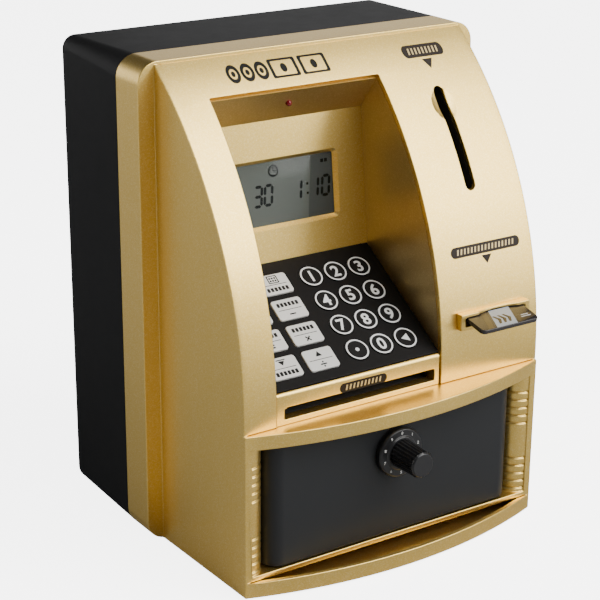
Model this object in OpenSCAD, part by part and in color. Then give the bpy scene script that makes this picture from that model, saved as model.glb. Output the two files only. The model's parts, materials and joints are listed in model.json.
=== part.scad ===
// Toy cash machine savings bank: keypad and display in a recess, card slot, coin slot,
// motor-fed note slot and a safe with a hinged door and a turning lock knob.
// X runs to the right, Y to the back, Z up. Sizes are in millimetres.

/* [Housing] */
// Width over the rim
body_w = 190; // [186:1:200]
// Height of the rim
body_h = 236.4; // [235:0.2:242]
// Depth from the front plane to the back
body_d = 151.8; // [148:0.2:160]
// Corner radius of the rim
corner_r = 10.5; // [7:0.5:14]
// Wall thickness of the shells
wall = 2.4; // [2:0.1:2.8]
// Front face of the rim, from the front plane
rim_y = 72.6; // [72:0.1:73.5]
// Seam between the two shells, from the front plane
seam_y = 93; // [91:0.5:96]
// Width of the front plane
front_w = 170; // [168:0.5:172]
// Widening of the front body on each side, at the rim
front_draft = 1.5; // [0.5:0.1:2]
// Narrowing of the rear shell on each side, at the back
rear_in = 2; // [1:0.5:4]
// Drop of the rear shell's top, at the back
rear_drop = 0.8; // [0.4:0.2:3]
// Rise of the rear shell's underside, at the back
rear_rise = 3; // [2:0.5:6.5]
// Corner radius of the rear shell, at the back
rear_r = 6.5; // [5:0.5:10.5]
// Rounding of the rear edges
rear_edge = 3; // [1:0.5:5]

/* [Face] */
// Radius of the curved face, seen from the side
face_r = 191; // [189:0.5:193]
// Set-back of the foremost line of the face
face_front = 1; // [0.6:0.1:1.4]
// Height of the centre of the face curve
face_centre_z = 86; // [85:0.5:87]
// Drop of the face's top edge below the top of the rim
face_drop = 1.6; // [1.6:0.1:3.4]
// Thickness of the face panel
panel_t = 2.4; // [2:0.1:2.8]
// Width of the face panel
panel_w = 166; // [164:0.5:166.4]
// Groove between the face panel and the side walls
panel_gap = 0.3; // [0.2:0.05:0.5]
// Width of the seat that carries the panel's edge
rebate = 3.5; // [2:0.5:5]

/* [Lower frame] */
// Height of the ledge on top of the upper band
ledge_z = 81; // [80.6:0.1:81.4]
// Height of the upper band
band_h = 7; // [6.6:0.1:7.2]
// Height of the base band
base_h = 7.6; // [7:0.1:8]
// Height of the recess floor behind the lip
floor_z = 10.1; // [9.8:0.1:10.4]
// How far both bands bow forward in the middle
bow = 14.5; // [10:0.5:16]
// Width of the flat border beside the columns
border_w = 3.7; // [3:0.1:4.5]
// Radius of the ribbed columns
column_r = 9; // [8.5:0.1:9.2]
// Set-back of the columns behind the border
column_step = 0.8; // [0.6:0.1:1.2]
// Grooves in each group on a column
groove_n = 5; // [3:1:6]
// Spacing of the grooves
groove_pitch = 4.15; // [3:0.05:4.3]
// Width of a groove
groove_w = 1; // [0.6:0.1:1.4]
// Depth of a groove
groove_depth = 0.8; // [0.4:0.1:1.2]
// Depth of the recess, front plane to safe
recess_depth = 17; // [16.9:0.1:17.4]

/* [Display recess] */
// Left edge of the recess
recess_x0 = -67.5; // [-68.5:0.5:-67]
// Width of the recess
recess_w = 93; // [92:0.5:94]
// Drop of the recess's top edge below the top of the rim
window_drop = 16; // [14.5:0.5:20]
// Rise of the hood over the screen wall
hood_rise = 18.05; // [16:0.05:21]
// Backward tilt of the screen wall
screen_tilt = 6.5; // [4:0.5:8]
// Wall thickness of the recess tub
tub_t = 2; // [1.6:0.1:2.4]
// Visible width of the display
lcd_w = 59; // [50:0.5:60]
// Visible height of the display
lcd_h = 30.2; // [26:0.1:32]
// Height of the display's middle over the middle of its wall
lcd_off = -1.25; // [-3:0.05:2]
// Width of the bevel round the display
lcd_bevel = 1.8; // [1.5:0.1:4]
// Corner radius of the display opening
lcd_r = 1; // [0.6:0.1:2]
// Distance of the lamp from the recess's top edge
led_in = 11.3; // [8:0.1:14]
// Diameter of the lamp
led_d = 3; // [2.6:0.1:4]

/* [Keypad] */
// Slope of the keypad
keypad_slope = 32.8; // [31:0.2:34]
// Length of the keypad up its slope
keypad_len = 70.3; // [69.5:0.1:71]
// Thickness of the keypad plate
plate_t = 2; // [1.8:0.1:2.2]
// Middle of the left column of round keys
round_x = -15.3; // [-15.8:0.1:-15]
// Spacing of the columns of round keys
round_pitch = 13.95; // [13.9:0.05:14.1]
// Diameter of a round key
round_d = 11.7; // [10:0.1:11.8]
// Middle of the left column of square keys
square_x = -56; // [-56.2:0.1:-55.6]
// Spacing of the columns of square keys
square_pitch = 20; // [19:0.1:20.4]
// Width of a square key
square_w = 16.2; // [14:0.1:16.8]
// Corner radius of a square key
square_r = 1.5; // [0.5:0.1:2.5]
// Top row's distance below the keypad's top edge
row_first = 13.1; // [12.6:0.1:13.4]
// Spacing of the rows
row_pitch = 15.2; // [14.8:0.05:15.3]
// Height of a key above the plate
key_proud = 0.5; // [0.2:0.1:1]
// Travel of a key
key_travel = 0.8; // [0.4:0.1:0.9]
// Gap round a key
key_gap = 0.3; // [0.2:0.05:0.5]

/* [Note slot and feed] */
// Front face of the note slot bar, behind the front plane
bar_y = 2; // [1.8:0.1:2.2]
// Height of the top of the bar
bar_top = 96.6; // [96.2:0.1:97]
// Height of the lower edge of the note slot
slot_z = 83.6; // [83.2:0.1:84]
// Height of the note slot
slot_h = 5.2; // [4.8:0.1:5.6]
// Width of the note slot
slot_w = 83.8; // [80:0.2:86]
// Distance of the roller axes behind the front plane
roller_y = 22; // [21.8:0.1:22.4]
// Radius of the feed rollers
roller_r = 5.4; // [5:0.05:5.45]
// Distance between the two roller axes
roller_pitch = 11.2; // [11.2:0.05:11.6]
// Radius of the roller shafts
axle_r = 1.5; // [1.2:0.1:1.6]
// Teeth of the roller gear
roller_teeth = 18; // [17:1:19]
// Teeth of the motor pinion
motor_teeth = 10; // [9:1:11]
// Tooth module of the feed gears
gear_module = 0.8; // [0.75:0.05:0.8]
// Width of the gears
gear_w = 3.5; // [3:0.1:4]
// Diameter of the motor
motor_d = 16; // [14:0.5:16.5]
// Length of the motor
motor_l = 19.5; // [16:0.5:22]

/* [Card slot] */
// Middle of the card slot
card_x = 56.1; // [55.5:0.1:56.6]
// Height of the card where it leaves the bezel
card_z = 112.5; // [111.5:0.1:113.5]
// Downward pitch of the card slot
card_pitch = 12.8; // [11:0.2:14]
// Width of the card
card_w = 34.8; // [33:0.1:35.2]
// Length of the card
card_l = 55; // [50:0.5:56]
// Thickness of the card
card_t = 2.2; // [1.4:0.1:2.3]
// Corner radius of the card
card_r = 2.5; // [1:0.1:4]
// Length of card that stands out of the bezel
card_out = 12.5; // [9:0.5:16]
// Width of the bezel
bezel_w = 42; // [41.5:0.1:43]
// Height of the bezel's lower edge
bezel_z = 106.4; // [105.8:0.1:107]
// Height of the bezel
bezel_h = 8.1; // [7.9:0.1:8.6]
// How far the bezel stands in front of the front plane
bezel_proud = 1.1; // [0.6:0.1:2]

/* [Coin slot] */
// Middle of the coin slot
coin_x = 55.1; // [54.5:0.1:55.6]
// Width of the coin slot and its chute
coin_w = 5.4; // [4.8:0.1:5.8]
// Drop of the coin slot's upper end below the top of the rim
coin_drop = 23.9; // [22.4:0.1:28]
// Length of the coin slot
coin_slot_l = 44.5; // [40:0.5:46]
// Radius of the finger dish, across the slot
dish_r = 19.5; // [17:0.5:24]
// Radius of the finger dish, along the slot
dish_long_r = 36; // [30:1:44]
// Depth of the finger dish
dish_depth = 1.3; // [0.6:0.1:1.5]
// Front of the upright part of the chute
chute_y = 52; // [51.5:0.1:53]
// Depth of the chute, for the largest coin
chute_depth = 32; // [30:0.5:33]
// Wall thickness of the chute
chute_t = 1.4; // [1.2:0.1:1.6]

/* [Safe and door] */
// Distance of the safe box from the sides of the front body
safe_side = 9; // [8.5:0.1:10]
// Height of the safe's roof
safe_top = 72.2; // [72:0.05:72.4]
// Back of the safe box, behind the front plane
safe_back = 142; // [120:1:142]
// Wall thickness of the safe box
safe_t = 1.6; // [1.2:0.1:1.8]
// Set-back of the door's front face
door_y = 0.5; // [0.2:0.1:0.8]
// Gap above and beside the door
door_gap = 0.6; // [0.4:0.05:0.8]
// Radius of the door's rounded ends
door_r = 8; // [7.5:0.1:8]
// Wall thickness of the door
door_t = 2.4; // [2:0.1:2.6]
// Radius of the hinge pin
pin_r = 1.5; // [1.2:0.1:2]
// Height of the knob's axis
knob_z = 53.5; // [53:0.1:54]
// Diameter of the dial plate
dial_d = 25; // [24:0.5:28]
// Thickness of the dial plate
dial_t = 4.5; // [3.5:0.1:5]
// Length of the knob
knob_l = 15.7; // [13:0.1:17]
// Diameter of the knob at its base
knob_d = 14.2; // [13.4:0.2:17]
// Diameter of the knob's front
knob_front_d = 12.7; // [11:0.1:14]
// Ribs round the knob
knob_ribs = 24; // [16:1:32]
// Reach of the latch tongue
tongue_l = 26; // [25.6:0.1:26.2]
// Width of the latch tongue
tongue_w = 6; // [5:0.5:6]
// Radius of the lock bolt
bolt_r = 1.2; // [1:0.1:1.2]

/* [Power and sound] */
// Diameter of a battery cell
cell_d = 14.2; // [13.8:0.1:14.4]
// Length of a battery cell
cell_l = 50.2; // [49:0.1:50.5]
// Number of battery cells
cell_n = 3; // [2:1:4]
// Middle height of the battery box
battery_z = 117; // [112:1:122]
// Diameter of the loudspeaker
speaker_d = 40; // [36:1:44]
// Middle of the loudspeaker below the top of the rim
speaker_drop = 46.4; // [44.4:0.5:52.4]
// Thickness of the rubber feet
foot_t = 1; // [0.6:0.1:2]
// Diameter of the rubber feet
foot_d = 12; // [8:1:14]

/* [Hidden] */
$fn = 48;
fit = 0.05;                  // radial clearance of shafts in their bores
gap = 0.3;                   // clearance between pieces that move past each other
seat = 0.1;                  // clearance between fixed pieces that fit into each other
over = 1;                    // how far a cut runs past a face
sheet = 0.01;                // thickness of the plates that a hull spans

gold = [0.86, 0.74, 0.48];
dark_shell = [0.12, 0.12, 0.13];
black = [0.16, 0.16, 0.17];
grey = [0.45, 0.46, 0.47];
steel = [0.72, 0.73, 0.75];
ivory = [0.9, 0.89, 0.86];
rubber = [0.08, 0.08, 0.08];
board_green = [0.1, 0.35, 0.2];
brass = [0.8, 0.65, 0.3];

// Places worked out from the driving sizes
knob_front_y = door_y - dial_t - gap - knob_l;
mid_y = (body_d + knob_front_y) / 2;
face_y0 = face_front + face_r;
face_top = body_h - face_drop;
window_top = body_h - window_drop;
coin_z1 = body_h - coin_drop;
coin_z0 = coin_z1 - coin_slot_l;
bow_end = 0.4;               // flat left at each end of a bow
band_r = (pow(front_w / 2 - bow_end, 2) + pow(bow, 2)) / (2 * bow);
column_x = front_w / 2 - border_w;
column_y = column_step + column_r;
pier_x = column_x - column_r;
ceiling_z = ledge_z - band_h;
ceiling_t = 2;
ceiling_y = 12;
ceiling_end = -45;           // the ceiling is full depth to the left of this, over the hinge
base_top = floor_z - wall;
recess_x1 = recess_x0 + recess_w;
recess_mid = (recess_x0 + recess_x1) / 2;

// Outline of the display recess, seen from the side: keypad foot, keypad head, screen head, window edge
keypad_foot = [bar_y + 1.3, bar_top + 0.6];
keypad_dir = [cos(keypad_slope), sin(keypad_slope)];
keypad_head = keypad_foot + keypad_len * keypad_dir;
screen_wall = (window_top - hood_rise - keypad_head[1]) / cos(screen_tilt);
lcd_up = screen_wall / 2 + lcd_off;
screen_head = keypad_head + screen_wall * [sin(screen_tilt), cos(screen_tilt)];
window_edge = [face_y(window_top), window_top];
recess_path = [keypad_foot, keypad_head, screen_head, window_edge];
hood_vector = window_edge - screen_head;
hood_angle = atan2(hood_vector[1], hood_vector[0]);

// Stack of layers under the keypad's top face
flange_top = -plate_t - gap;
flange_t = 1;
flange_rim = 0.9;
mat_top = flange_top - flange_t - key_travel - gap;
mat_t = 1.2;
board_top = mat_top - mat_t;
board_t = 1.2;
pad_x0 = recess_x0 + 1.3;
pad_x1 = recess_x1 - 1.3;
rim_t = 0.8;
pad_s0 = 3.5;
pad_s1 = keypad_len - 2.4;
round_cols = 3;
square_cols = 2;
square_h = round_d;

// Note feed
bar_back = 8;
bar_x0 = recess_x0 + gap;
bar_x1 = recess_x1 - gap;
slot_x0 = recess_x0 + 5.9;
slot_x1 = slot_x0 + slot_w;
nip_z = slot_z + slot_h / 2 + 0.1;
pinch_z = nip_z - roller_pitch / 2;
drive_z = nip_z + roller_pitch / 2;
cheek_t = 2;
cheek_x0 = slot_x0 - 1.5;
cheek_x1 = slot_x1 - 0.2;
guide_back = roller_y + 18.5;
gear_x = cheek_x1 + cheek_t + 0.6;
gear_distance = gear_module * (roller_teeth + motor_teeth) / 2;
gear_lean = 20;
motor_y = roller_y + gear_distance * cos(gear_lean);
motor_z = drive_z + gear_distance * sin(gear_lean);
motor_x = gear_x + gear_w + 3;
motor_shaft_r = 1;
bracket_t = 1.5;
tooth_angle = 20;
tooth_play = 0.12;

// Card slot
card_y = -bezel_proud + 0.35;
guide_t = 1.5;
card_room = 0.4;
guide_start = 7;
guide_end = card_l - card_out + 6;
switch_size = [10, 9, 6];

// Coin chute
chute_x0 = coin_x - coin_w / 2 - chute_t;
chute_x1 = coin_x + coin_w / 2 + chute_t;
chute_back = chute_y + chute_depth;
chute_bend_z = bezel_z + 33.6;
chute_throat = 4;
lever_y = chute_back + 4.5;
lever_z = 128;
lever_pin_r = 1;
lever_reach = 14;
lever_lean = 29;

// Safe, door and lock
safe_front = recess_depth + 0.2;
safe_bottom = base_top + 0.3;
safe_rib_x = 50;
door_half = pier_x - door_gap - 0.1;
door_pivot = [-(door_half - door_r), door_y + door_r];
pin_boss_r = 3.5;
door_z0 = floor_z + door_gap + 0.3;
door_z1 = ceiling_z - door_gap + 0.1;
shaft_r = 3;
boss_r = 5.5;
boss_end = ceiling_y - 0.1;
tongue_y = ceiling_y + gap;
tongue_t = 2;
tongue_side = 8;
tongue_back = 2;
strike_x0 = -8;
strike_x1 = 22;
bolt_y = tongue_y + 1.3;
bolt_z = knob_z + tongue_l - 0.5;
bolt_tip = 10.6;
bolt_stroke = 6.7;
plunger_r = 2;
plunger_y = 18.5;
arm_x = cheek_x1 + cheek_t + 0.5 + bolt_stroke;
arm_t = 2;
solenoid_x = arm_x + arm_t + 0.4;
solenoid_l = 16.4;

// Fixings and power
screw_x = body_w / 2 - 11;
screw_heights = [20, body_h / 2 + 1.8, body_h - 14.4];
screw_seat_y = seam_y + 3;
screw_r = 1.25;
well_r = 3.3;
post_r = 4;
safe_half = min(front_w / 2 - safe_side, screw_x - post_r - 4);
cell_pitch = cell_d + 1;
battery_h = cell_n * cell_pitch + 1;
battery_w = cell_l + 8;
battery_depth = cell_d + 2.2;
battery_t = 1.5;
battery_y0 = body_d - wall - battery_depth - battery_t;
cover_t = 2;
cover_r = cover_t / 2;
cover_y = body_d - wall / 2;
cover_pin = 1.8;
cover_z0 = battery_z - battery_h / 2 + 1.6;
cover_z1 = battery_z + battery_h / 2 - 0.6;
cover_half = battery_w / 2 - 1;
speaker_x = 45 - body_w / 2;
speaker_z = body_h - speaker_drop;
speaker_rim_t = 5;
speaker_magnet_l = 8;
main_board_y = 86;
board_x0 = recess_mid - 40;
board_x1 = recess_mid + 52;
board_z0 = battery_z - 12;
board_z1 = screen_head[1] - 6.3;
chip_size = [22, 2.5, 18];
capacitor_r = 4;
capacitor_l = 9;
standoff_r = 2.5;
standoff_x = 36;
standoff_up = [2, 52];
foot_x = 66;
foot_y = [22, 134];

round_names = ["key_1", "key_2", "key_3", "key_4", "key_5", "key_6", "key_7", "key_8", "key_9",
               "key_point", "key_0", "key_clear"];
square_names = ["function_key_1", "function_key_2", "function_key_3", "function_key_4",
                "function_key_5", "function_key_6", "function_key_7", "function_key_8"];

// Depth of the curved face at a height
function face_y(z) = face_y0 - sqrt(pow(face_r, 2) - pow(z - face_centre_z, 2));

// Offset of a path to its left, with mitred corners
function unit(v) = v / norm(v);
function left_of(v) = [-v[1], v[0]];
function side(p, i) = unit(p[i + 1] - p[i]);
function mitre(p, i, d) =
    let (a = side(p, max(i - 1, 0)), b = side(p, min(i, len(p) - 2)), n = unit(left_of(a) + left_of(b)))
    p[i] + n * d / (n * left_of(a));
function offset_path(p, d) = [for (i = [0:len(p) - 1]) mitre(p, i, d)];
function reversed(p) = [for (i = [len(p) - 1:-1:0]) p[i]];
function band(p, d0, d1) = concat(offset_path(p, d0), reversed(offset_path(p, d1)));

// Moves a piece from the front plane to the middle of the footprint, standing on its feet
module seated() {
    translate([0, -mid_y, foot_t]) children();
}

module box(a, b) {
    translate(a) cube(b - a);
}

module both_sides() {
    children();
    mirror([1, 0, 0]) children();
}

// Extrudes an outline drawn in Y and Z along X
module along_x(x0, x1) {
    translate([x0, 0, 0]) rotate([90, 0, 90]) linear_extrude(x1 - x0) children();
}

// Extrudes an outline drawn in X and Z along Y
module along_y(y0, y1) {
    translate([0, y1, 0]) rotate([90, 0, 0]) linear_extrude(y1 - y0) children();
}

module along_z(z0, z1) {
    translate([0, 0, z0]) linear_extrude(z1 - z0) children();
}

// A round bar along X or Y, at [y, z] or [x, z]
module bar_x(at, r, x0, x1) {
    translate([x0, at[0], at[1]]) rotate([0, 90, 0]) cylinder(r = r, h = x1 - x0);
}

module bar_along_y(at, r, y0, y1) {
    translate([at[0], y0, at[1]]) rotate([-90, 0, 0]) cylinder(r = r, h = y1 - y0);
}

module rounded_rect(w, h, r) {
    square([w - 2 * r, h], center = true);
    square([w, h - 2 * r], center = true);
    for (i = [-1, 1], j = [-1, 1])
        translate([i * (w / 2 - r), j * (h / 2 - r)]) circle(r);
}

// The space behind the curved face, moved in by a depth
module behind_face(in, z0, z1, half, back) {
    intersection() {
        bar_x([face_y0, face_centre_z], face_r - in, -half, half, $fn = 192);
        box([-half, -over, z0], [half, back, z1]);
    }
}

// Frames of the keypad, the screen wall, the hood and the card slot
module on_keypad() {
    translate([0, keypad_head[0], keypad_head[1]]) rotate([keypad_slope, 0, 0]) children();
}

module on_screen_wall() {
    translate([recess_mid, keypad_head[0], keypad_head[1]]) rotate([90 - screen_tilt, 0, 0]) children();
}

module on_hood() {
    translate([recess_mid, window_edge[0], window_edge[1]]) rotate([hood_angle, 0, 0]) children();
}

module on_card() {
    translate([card_x, card_y, card_z]) rotate([card_pitch, 0, 0]) children();
}

// Outline of the front body from above, moved in by a wall
module front_plan(in, y0, y1) {
    half = front_w / 2 - in;
    polygon([[-half, y0], [half, y0], [half + front_draft, y1], [-half - front_draft, y1]]);
}

module front_body(in) {
    intersection() {
        along_z(in, face_top) front_plan(in, 0, rim_y);
        union() {
            box([-body_w / 2, in, in], [body_w / 2, rim_y, ledge_z]);
            behind_face(in, ledge_z - over, face_top, body_w / 2, rim_y);
        }
    }
}

module rim_outline(in) {
    translate([0, body_h / 2]) rounded_rect(body_w - 2 * in, body_h - 2 * in, corner_r - in);
}

// Bow of a band in front of the front plane
module bow_slice(in, z0, z1) {
    intersection() {
        translate([0, band_r - bow, z0]) cylinder(r = band_r - in, h = z1 - z0, $fn = 192);
        box([-front_w / 2 + in, -bow - over, z0], [front_w / 2 - in, over, z1]);
    }
}

module column_grooves() {
    upper = ceiling_z - 9.5;
    lower = floor_z + 2.2;
    for (i = [0:groove_n - 1], z = [upper - i * groove_pitch, lower + i * groove_pitch])
        translate([0, 0, z - groove_w / 2]) difference() {
            cylinder(r = column_r + over, h = groove_w);
            cylinder(r = column_r - groove_depth, h = groove_w);
        }
}

// The recess of the door, with the ribbed columns left standing on both sides
module door_recess() {
    difference() {
        box([-column_x, -over, floor_z], [column_x, column_y, ceiling_z]);
        both_sides() translate([column_x, column_y, floor_z]) cylinder(r = column_r, h = ceiling_z - floor_z);
    }
    box([-pier_x, -over, floor_z], [pier_x, recess_depth + over, ceiling_z]);
    both_sides() intersection() {
        translate([column_x, column_y, 0]) column_grooves();
        box([pier_x - over, -over, floor_z], [column_x, column_y, ceiling_z]);
    }
}

// Hollows behind the bands and the columns, as moulded
module band_hollows() {
    hollow_x = pier_x + wall;
    for (z = [[wall, base_top], [ceiling_z + ceiling_t, ledge_z - wall]]) {
        bow_slice(wall, z[0], z[1]);
        box([-front_w / 2 + wall, 0, z[0]], [front_w / 2 - wall, recess_depth + over, z[1]]);
    }
    both_sides() {
        intersection() {
            translate([column_x, column_y, floor_z + wall])
                cylinder(r = column_r - wall, h = ceiling_z - floor_z - 2 * wall);
            box([0, 0, 0], [front_w / 2 - wall, column_y, body_h]);
        }
        box([hollow_x, column_y - 0.1, floor_z + wall],
            [front_w / 2 - wall, recess_depth + over, ceiling_z - wall]);
    }
}

module front_interior() {
    intersection() {
        front_body(wall);
        box([-body_w / 2, recess_depth, 0], [body_w / 2, rim_y, ledge_z + wall]);
    }
    intersection() {
        along_z(ledge_z, face_top - wall) front_plan(wall, 0, rim_y);
        behind_face(panel_t + wall, ledge_z, face_top - wall, body_w / 2, rim_y + over);
    }
    behind_face(panel_t, ledge_z, face_top - rebate - wall, panel_w / 2 - rebate, rim_y);
    intersection() {
        along_z(wall, face_top - wall) front_plan(wall, 0, rim_y + wall + over);
        box([-body_w / 2, rim_y - over, wall], [body_w / 2, rim_y + wall + over, face_top - wall]);
    }
    along_y(rim_y + wall, seam_y + over) rim_outline(wall);
}

module front_shell() {
    seated() color(gold) difference() {
        union() {
            difference() {
                union() {
                    front_body(0);
                    along_y(rim_y, seam_y) rim_outline(0);
                    bow_slice(0, 0, base_h);
                    bow_slice(0, ceiling_z, ledge_z);
                }
                front_interior();
                // seat of the face panel
                difference() {
                    behind_face(-8, ledge_z, face_top + over, panel_w / 2 + panel_gap, rim_y);
                    behind_face(panel_t, 0, body_h, body_w / 2, rim_y + over);
                }
                door_recess();
                band_hollows();
                // the ceiling stops short of the lock and the rollers, except over the hinge
                box([ceiling_end, ceiling_y, ceiling_z - over], [pier_x, recess_depth + over, ledge_z + over]);
                box([-front_w / 2 + wall, ceiling_y, ceiling_z + ceiling_t],
                    [front_w / 2 - wall, recess_depth + over, ledge_z + over]);
            }
            // strike behind which the latch tongue turns
            box([strike_x0, ceiling_y - 2, ceiling_z], [strike_x1, ceiling_y, ledge_z]);
            // bosses of the hinge pin
            for (z = [[base_top - 3.2, floor_z], [ceiling_z, ledge_z - wall]])
                translate([door_pivot[0], door_pivot[1], z[0]]) cylinder(r = pin_boss_r, h = z[1] - z[0]);
            // ribs that carry the safe
            for (x = [-safe_rib_x, safe_rib_x])
                box([x - 0.8, recess_depth, wall - 0.2], [x + 0.8, seam_y - 1, safe_bottom]);
            // screw posts
            both_sides() for (z = screw_heights)
                bar_along_y([screw_x, z], post_r, rim_y + wall - 0.2, screw_seat_y - seat);
        }
        translate([door_pivot[0], door_pivot[1], base_top - 2.2])
            cylinder(r = pin_r + fit, h = ledge_z - wall - base_top + 1.2);
        both_sides() for (z = screw_heights)
            bar_along_y([screw_x, z], screw_r, rim_y + wall + 4, screw_seat_y + over);
    }
}

// Section of the rear shell at a depth, moved in by an amount: half width, top and bottom
function rear_section(y, in) =
    let (f = (y - seam_y) / (body_d - seam_y))
    [body_w / 2 - f * rear_in - in, body_h - f * rear_drop - in, f * rear_rise + in];

// Thin plate with the outline of a section, lying behind a depth
module section_plate(y, in, r) {
    s = rear_section(y, in);
    translate([0, y, (s[1] + s[2]) / 2]) rotate([-90, 0, 0]) linear_extrude(sheet)
        rounded_rect(2 * s[0], s[1] - s[2], r, $fn = 40);
}

module rear_body() {
    steps = 4;
    hull() {
        section_plate(seam_y, 0, corner_r);
        for (a = [0:90 / steps:90])
            section_plate(body_d - rear_edge * (1 - sin(a)) - sheet, rear_edge * (1 - cos(a)), rear_r);
    }
}

module rear_cavity() {
    hull() {
        section_plate(seam_y - over, wall, corner_r - wall);
        section_plate(body_d - wall - sheet, wall, rear_r - wall);
    }
}

module speaker_slots() {
    slot_n = 7;
    pitch = 4.5;
    for (i = [0:slot_n - 1]) {
        up = (i - (slot_n - 1) / 2) * pitch;
        half = sqrt(pow(speaker_d / 2 - 3, 2) - pow(up, 2)) - 1;
        translate([speaker_x, body_d - wall - over, speaker_z + up]) {
            box([-half, 0, -1], [half, wall + 2 * over, 1]);
            for (x = [-half, half])
                bar_along_y([x, 0], 1, 0, wall + 2 * over, $fn = 24);
        }
    }
}

module rear_shell() {
    seated() color(dark_shell) difference() {
        union() {
            difference() {
                rear_body();
                rear_cavity();
                speaker_slots();
                // opening of the battery box
                box([-battery_w / 2, battery_y0, battery_z - battery_h / 2],
                    [battery_w / 2, body_d + over, battery_z + battery_h / 2]);
            }
            // screw wells
            both_sides() for (z = screw_heights)
                bar_along_y([screw_x, z], well_r + 1.7, screw_seat_y, body_d - wall / 2);
            // flat bosses for the rear feet
            both_sides() translate([foot_x, foot_y[1], 0]) cylinder(d = foot_d + 3, h = safe_bottom - 1);
        }
        both_sides() for (z = screw_heights) {
            bar_along_y([screw_x, z], well_r, screw_seat_y + wall, body_d + over);
            bar_along_y([screw_x, z], screw_r + 0.3, screw_seat_y - over, body_d);
        }
        bar_x([cover_y, cover_z0], cover_r + fit, -cover_half - cover_pin - seat, cover_half + cover_pin + seat);
    }
}

module card_opening(room) {
    translate([0, 0, -card_t - room]) box([-card_w / 2 - room, -60, 0], [card_w / 2 + room, 60, card_t + 2 * room]);
}

// The space between the curved front and back of the face panel
module panel_sheet(half, z0, z1) {
    difference() {
        behind_face(0, z0, z1, half, rim_y);
        behind_face(panel_t, z0 - over, z1 + over, half + over, rim_y + over);
    }
}

// Coin slot with round ends, cut straight back
module coin_cut(w, depth) {
    along_y(-over, depth) {
        translate([coin_x - w / 2, coin_z0 + w / 2]) square([w, coin_z1 - coin_z0 - w]);
        for (z = [coin_z0 + w / 2, coin_z1 - w / 2]) translate([coin_x, z]) circle(d = w);
    }
}

module face_panel() {
    dish_z = coin_z1 - 7.5;
    seated() color(gold) difference() {
        panel_sheet(panel_w / 2, ledge_z + seat, face_top);
        box([recess_x0, -over, ledge_z - over], [recess_x1, body_d, window_top]);
        coin_cut(coin_w, body_d);
        // finger dish beside the coin slot
        dish_dir = unit([-(face_y0 - face_y(dish_z)), dish_z - face_centre_z]);
        dish_at = [face_y(dish_z), dish_z] + dish_dir * (dish_long_r - dish_depth);
        translate([coin_x, dish_at[0], dish_at[1]]) rotate([0, 90, 0]) rotate_extrude($fn = 144)
            intersection() {
                translate([dish_long_r - dish_r, 0]) circle(r = dish_r, $fn = 96);
                translate([0, -dish_r]) square([dish_long_r, 2 * dish_r]);
            }
        box([card_x - bezel_w / 2 + 1 - seat, -over, bezel_z + 1 - seat],
            [card_x + bezel_w / 2 - 1 + seat, 20, bezel_z + bezel_h - 1 + seat]);
        on_card() card_opening(card_room);
    }
}

module slot_bar() {
    nose = 1.8;
    chamfer = 2.2;
    bar_foot = ledge_z + seat;
    seated() color(gold) difference() {
        union() {
            box([bar_x0, bar_y, bar_foot], [bar_x1, bar_back, bar_top - nose]);
            box([bar_x0, bar_y + nose, bar_foot], [bar_x1, bar_back, bar_top]);
            bar_x([bar_y + nose, bar_top - nose], nose, bar_x0, bar_x1);
        }
        // the keypad rests against the bar's slanted back
        on_keypad() box([-body_w, -keypad_len - seat, board_top - board_t - gap], [body_w, keypad_len, 10]);
        box([slot_x0, 0, slot_z], [slot_x1, bar_back + over, slot_z + slot_h]);
        along_x(slot_x0, slot_x1)
            polygon([[bar_y - over, slot_z + slot_h - over], [bar_y - over, slot_z + slot_h + 1.6],
                     [bar_y + chamfer, slot_z + slot_h - over]]);
        along_z(slot_z, slot_z + slot_h)
            polygon([[slot_x0 + over, bar_y - over], [slot_x0 - 2, bar_y - over], [slot_x0 + over, bar_y + 3]]);
    }
}

// Half outline of the tapered display opening across one side, wide at the front
function bevel_outline(half) =
    let (mouth = half + lcd_bevel * (tub_t + over) / tub_t)
    [[-half, -tub_t - over], [half, -tub_t - over], [half, -tub_t], [mouth, over], [-mouth, over], [-half, -tub_t]];

module lcd_opening() {
    mouth_r = lcd_r + lcd_bevel * (tub_t + over) / tub_t;
    flat_x = lcd_w / 2 - lcd_r;
    flat_z = lcd_h / 2 - lcd_r;
    translate([0, lcd_up, 0]) {
        along_x(-flat_x, flat_x) polygon(bevel_outline(lcd_h / 2));
        rotate([0, 0, 90]) along_x(-flat_z, flat_z) polygon(bevel_outline(lcd_w / 2));
        for (x = [-flat_x, flat_x], z = [-flat_z, flat_z])
            translate([x, z, -tub_t]) {
                cylinder(r1 = lcd_r, r2 = mouth_r, h = tub_t + over);
                translate([0, 0, -over]) cylinder(r = lcd_r, h = over);
            }
    }
}

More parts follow.
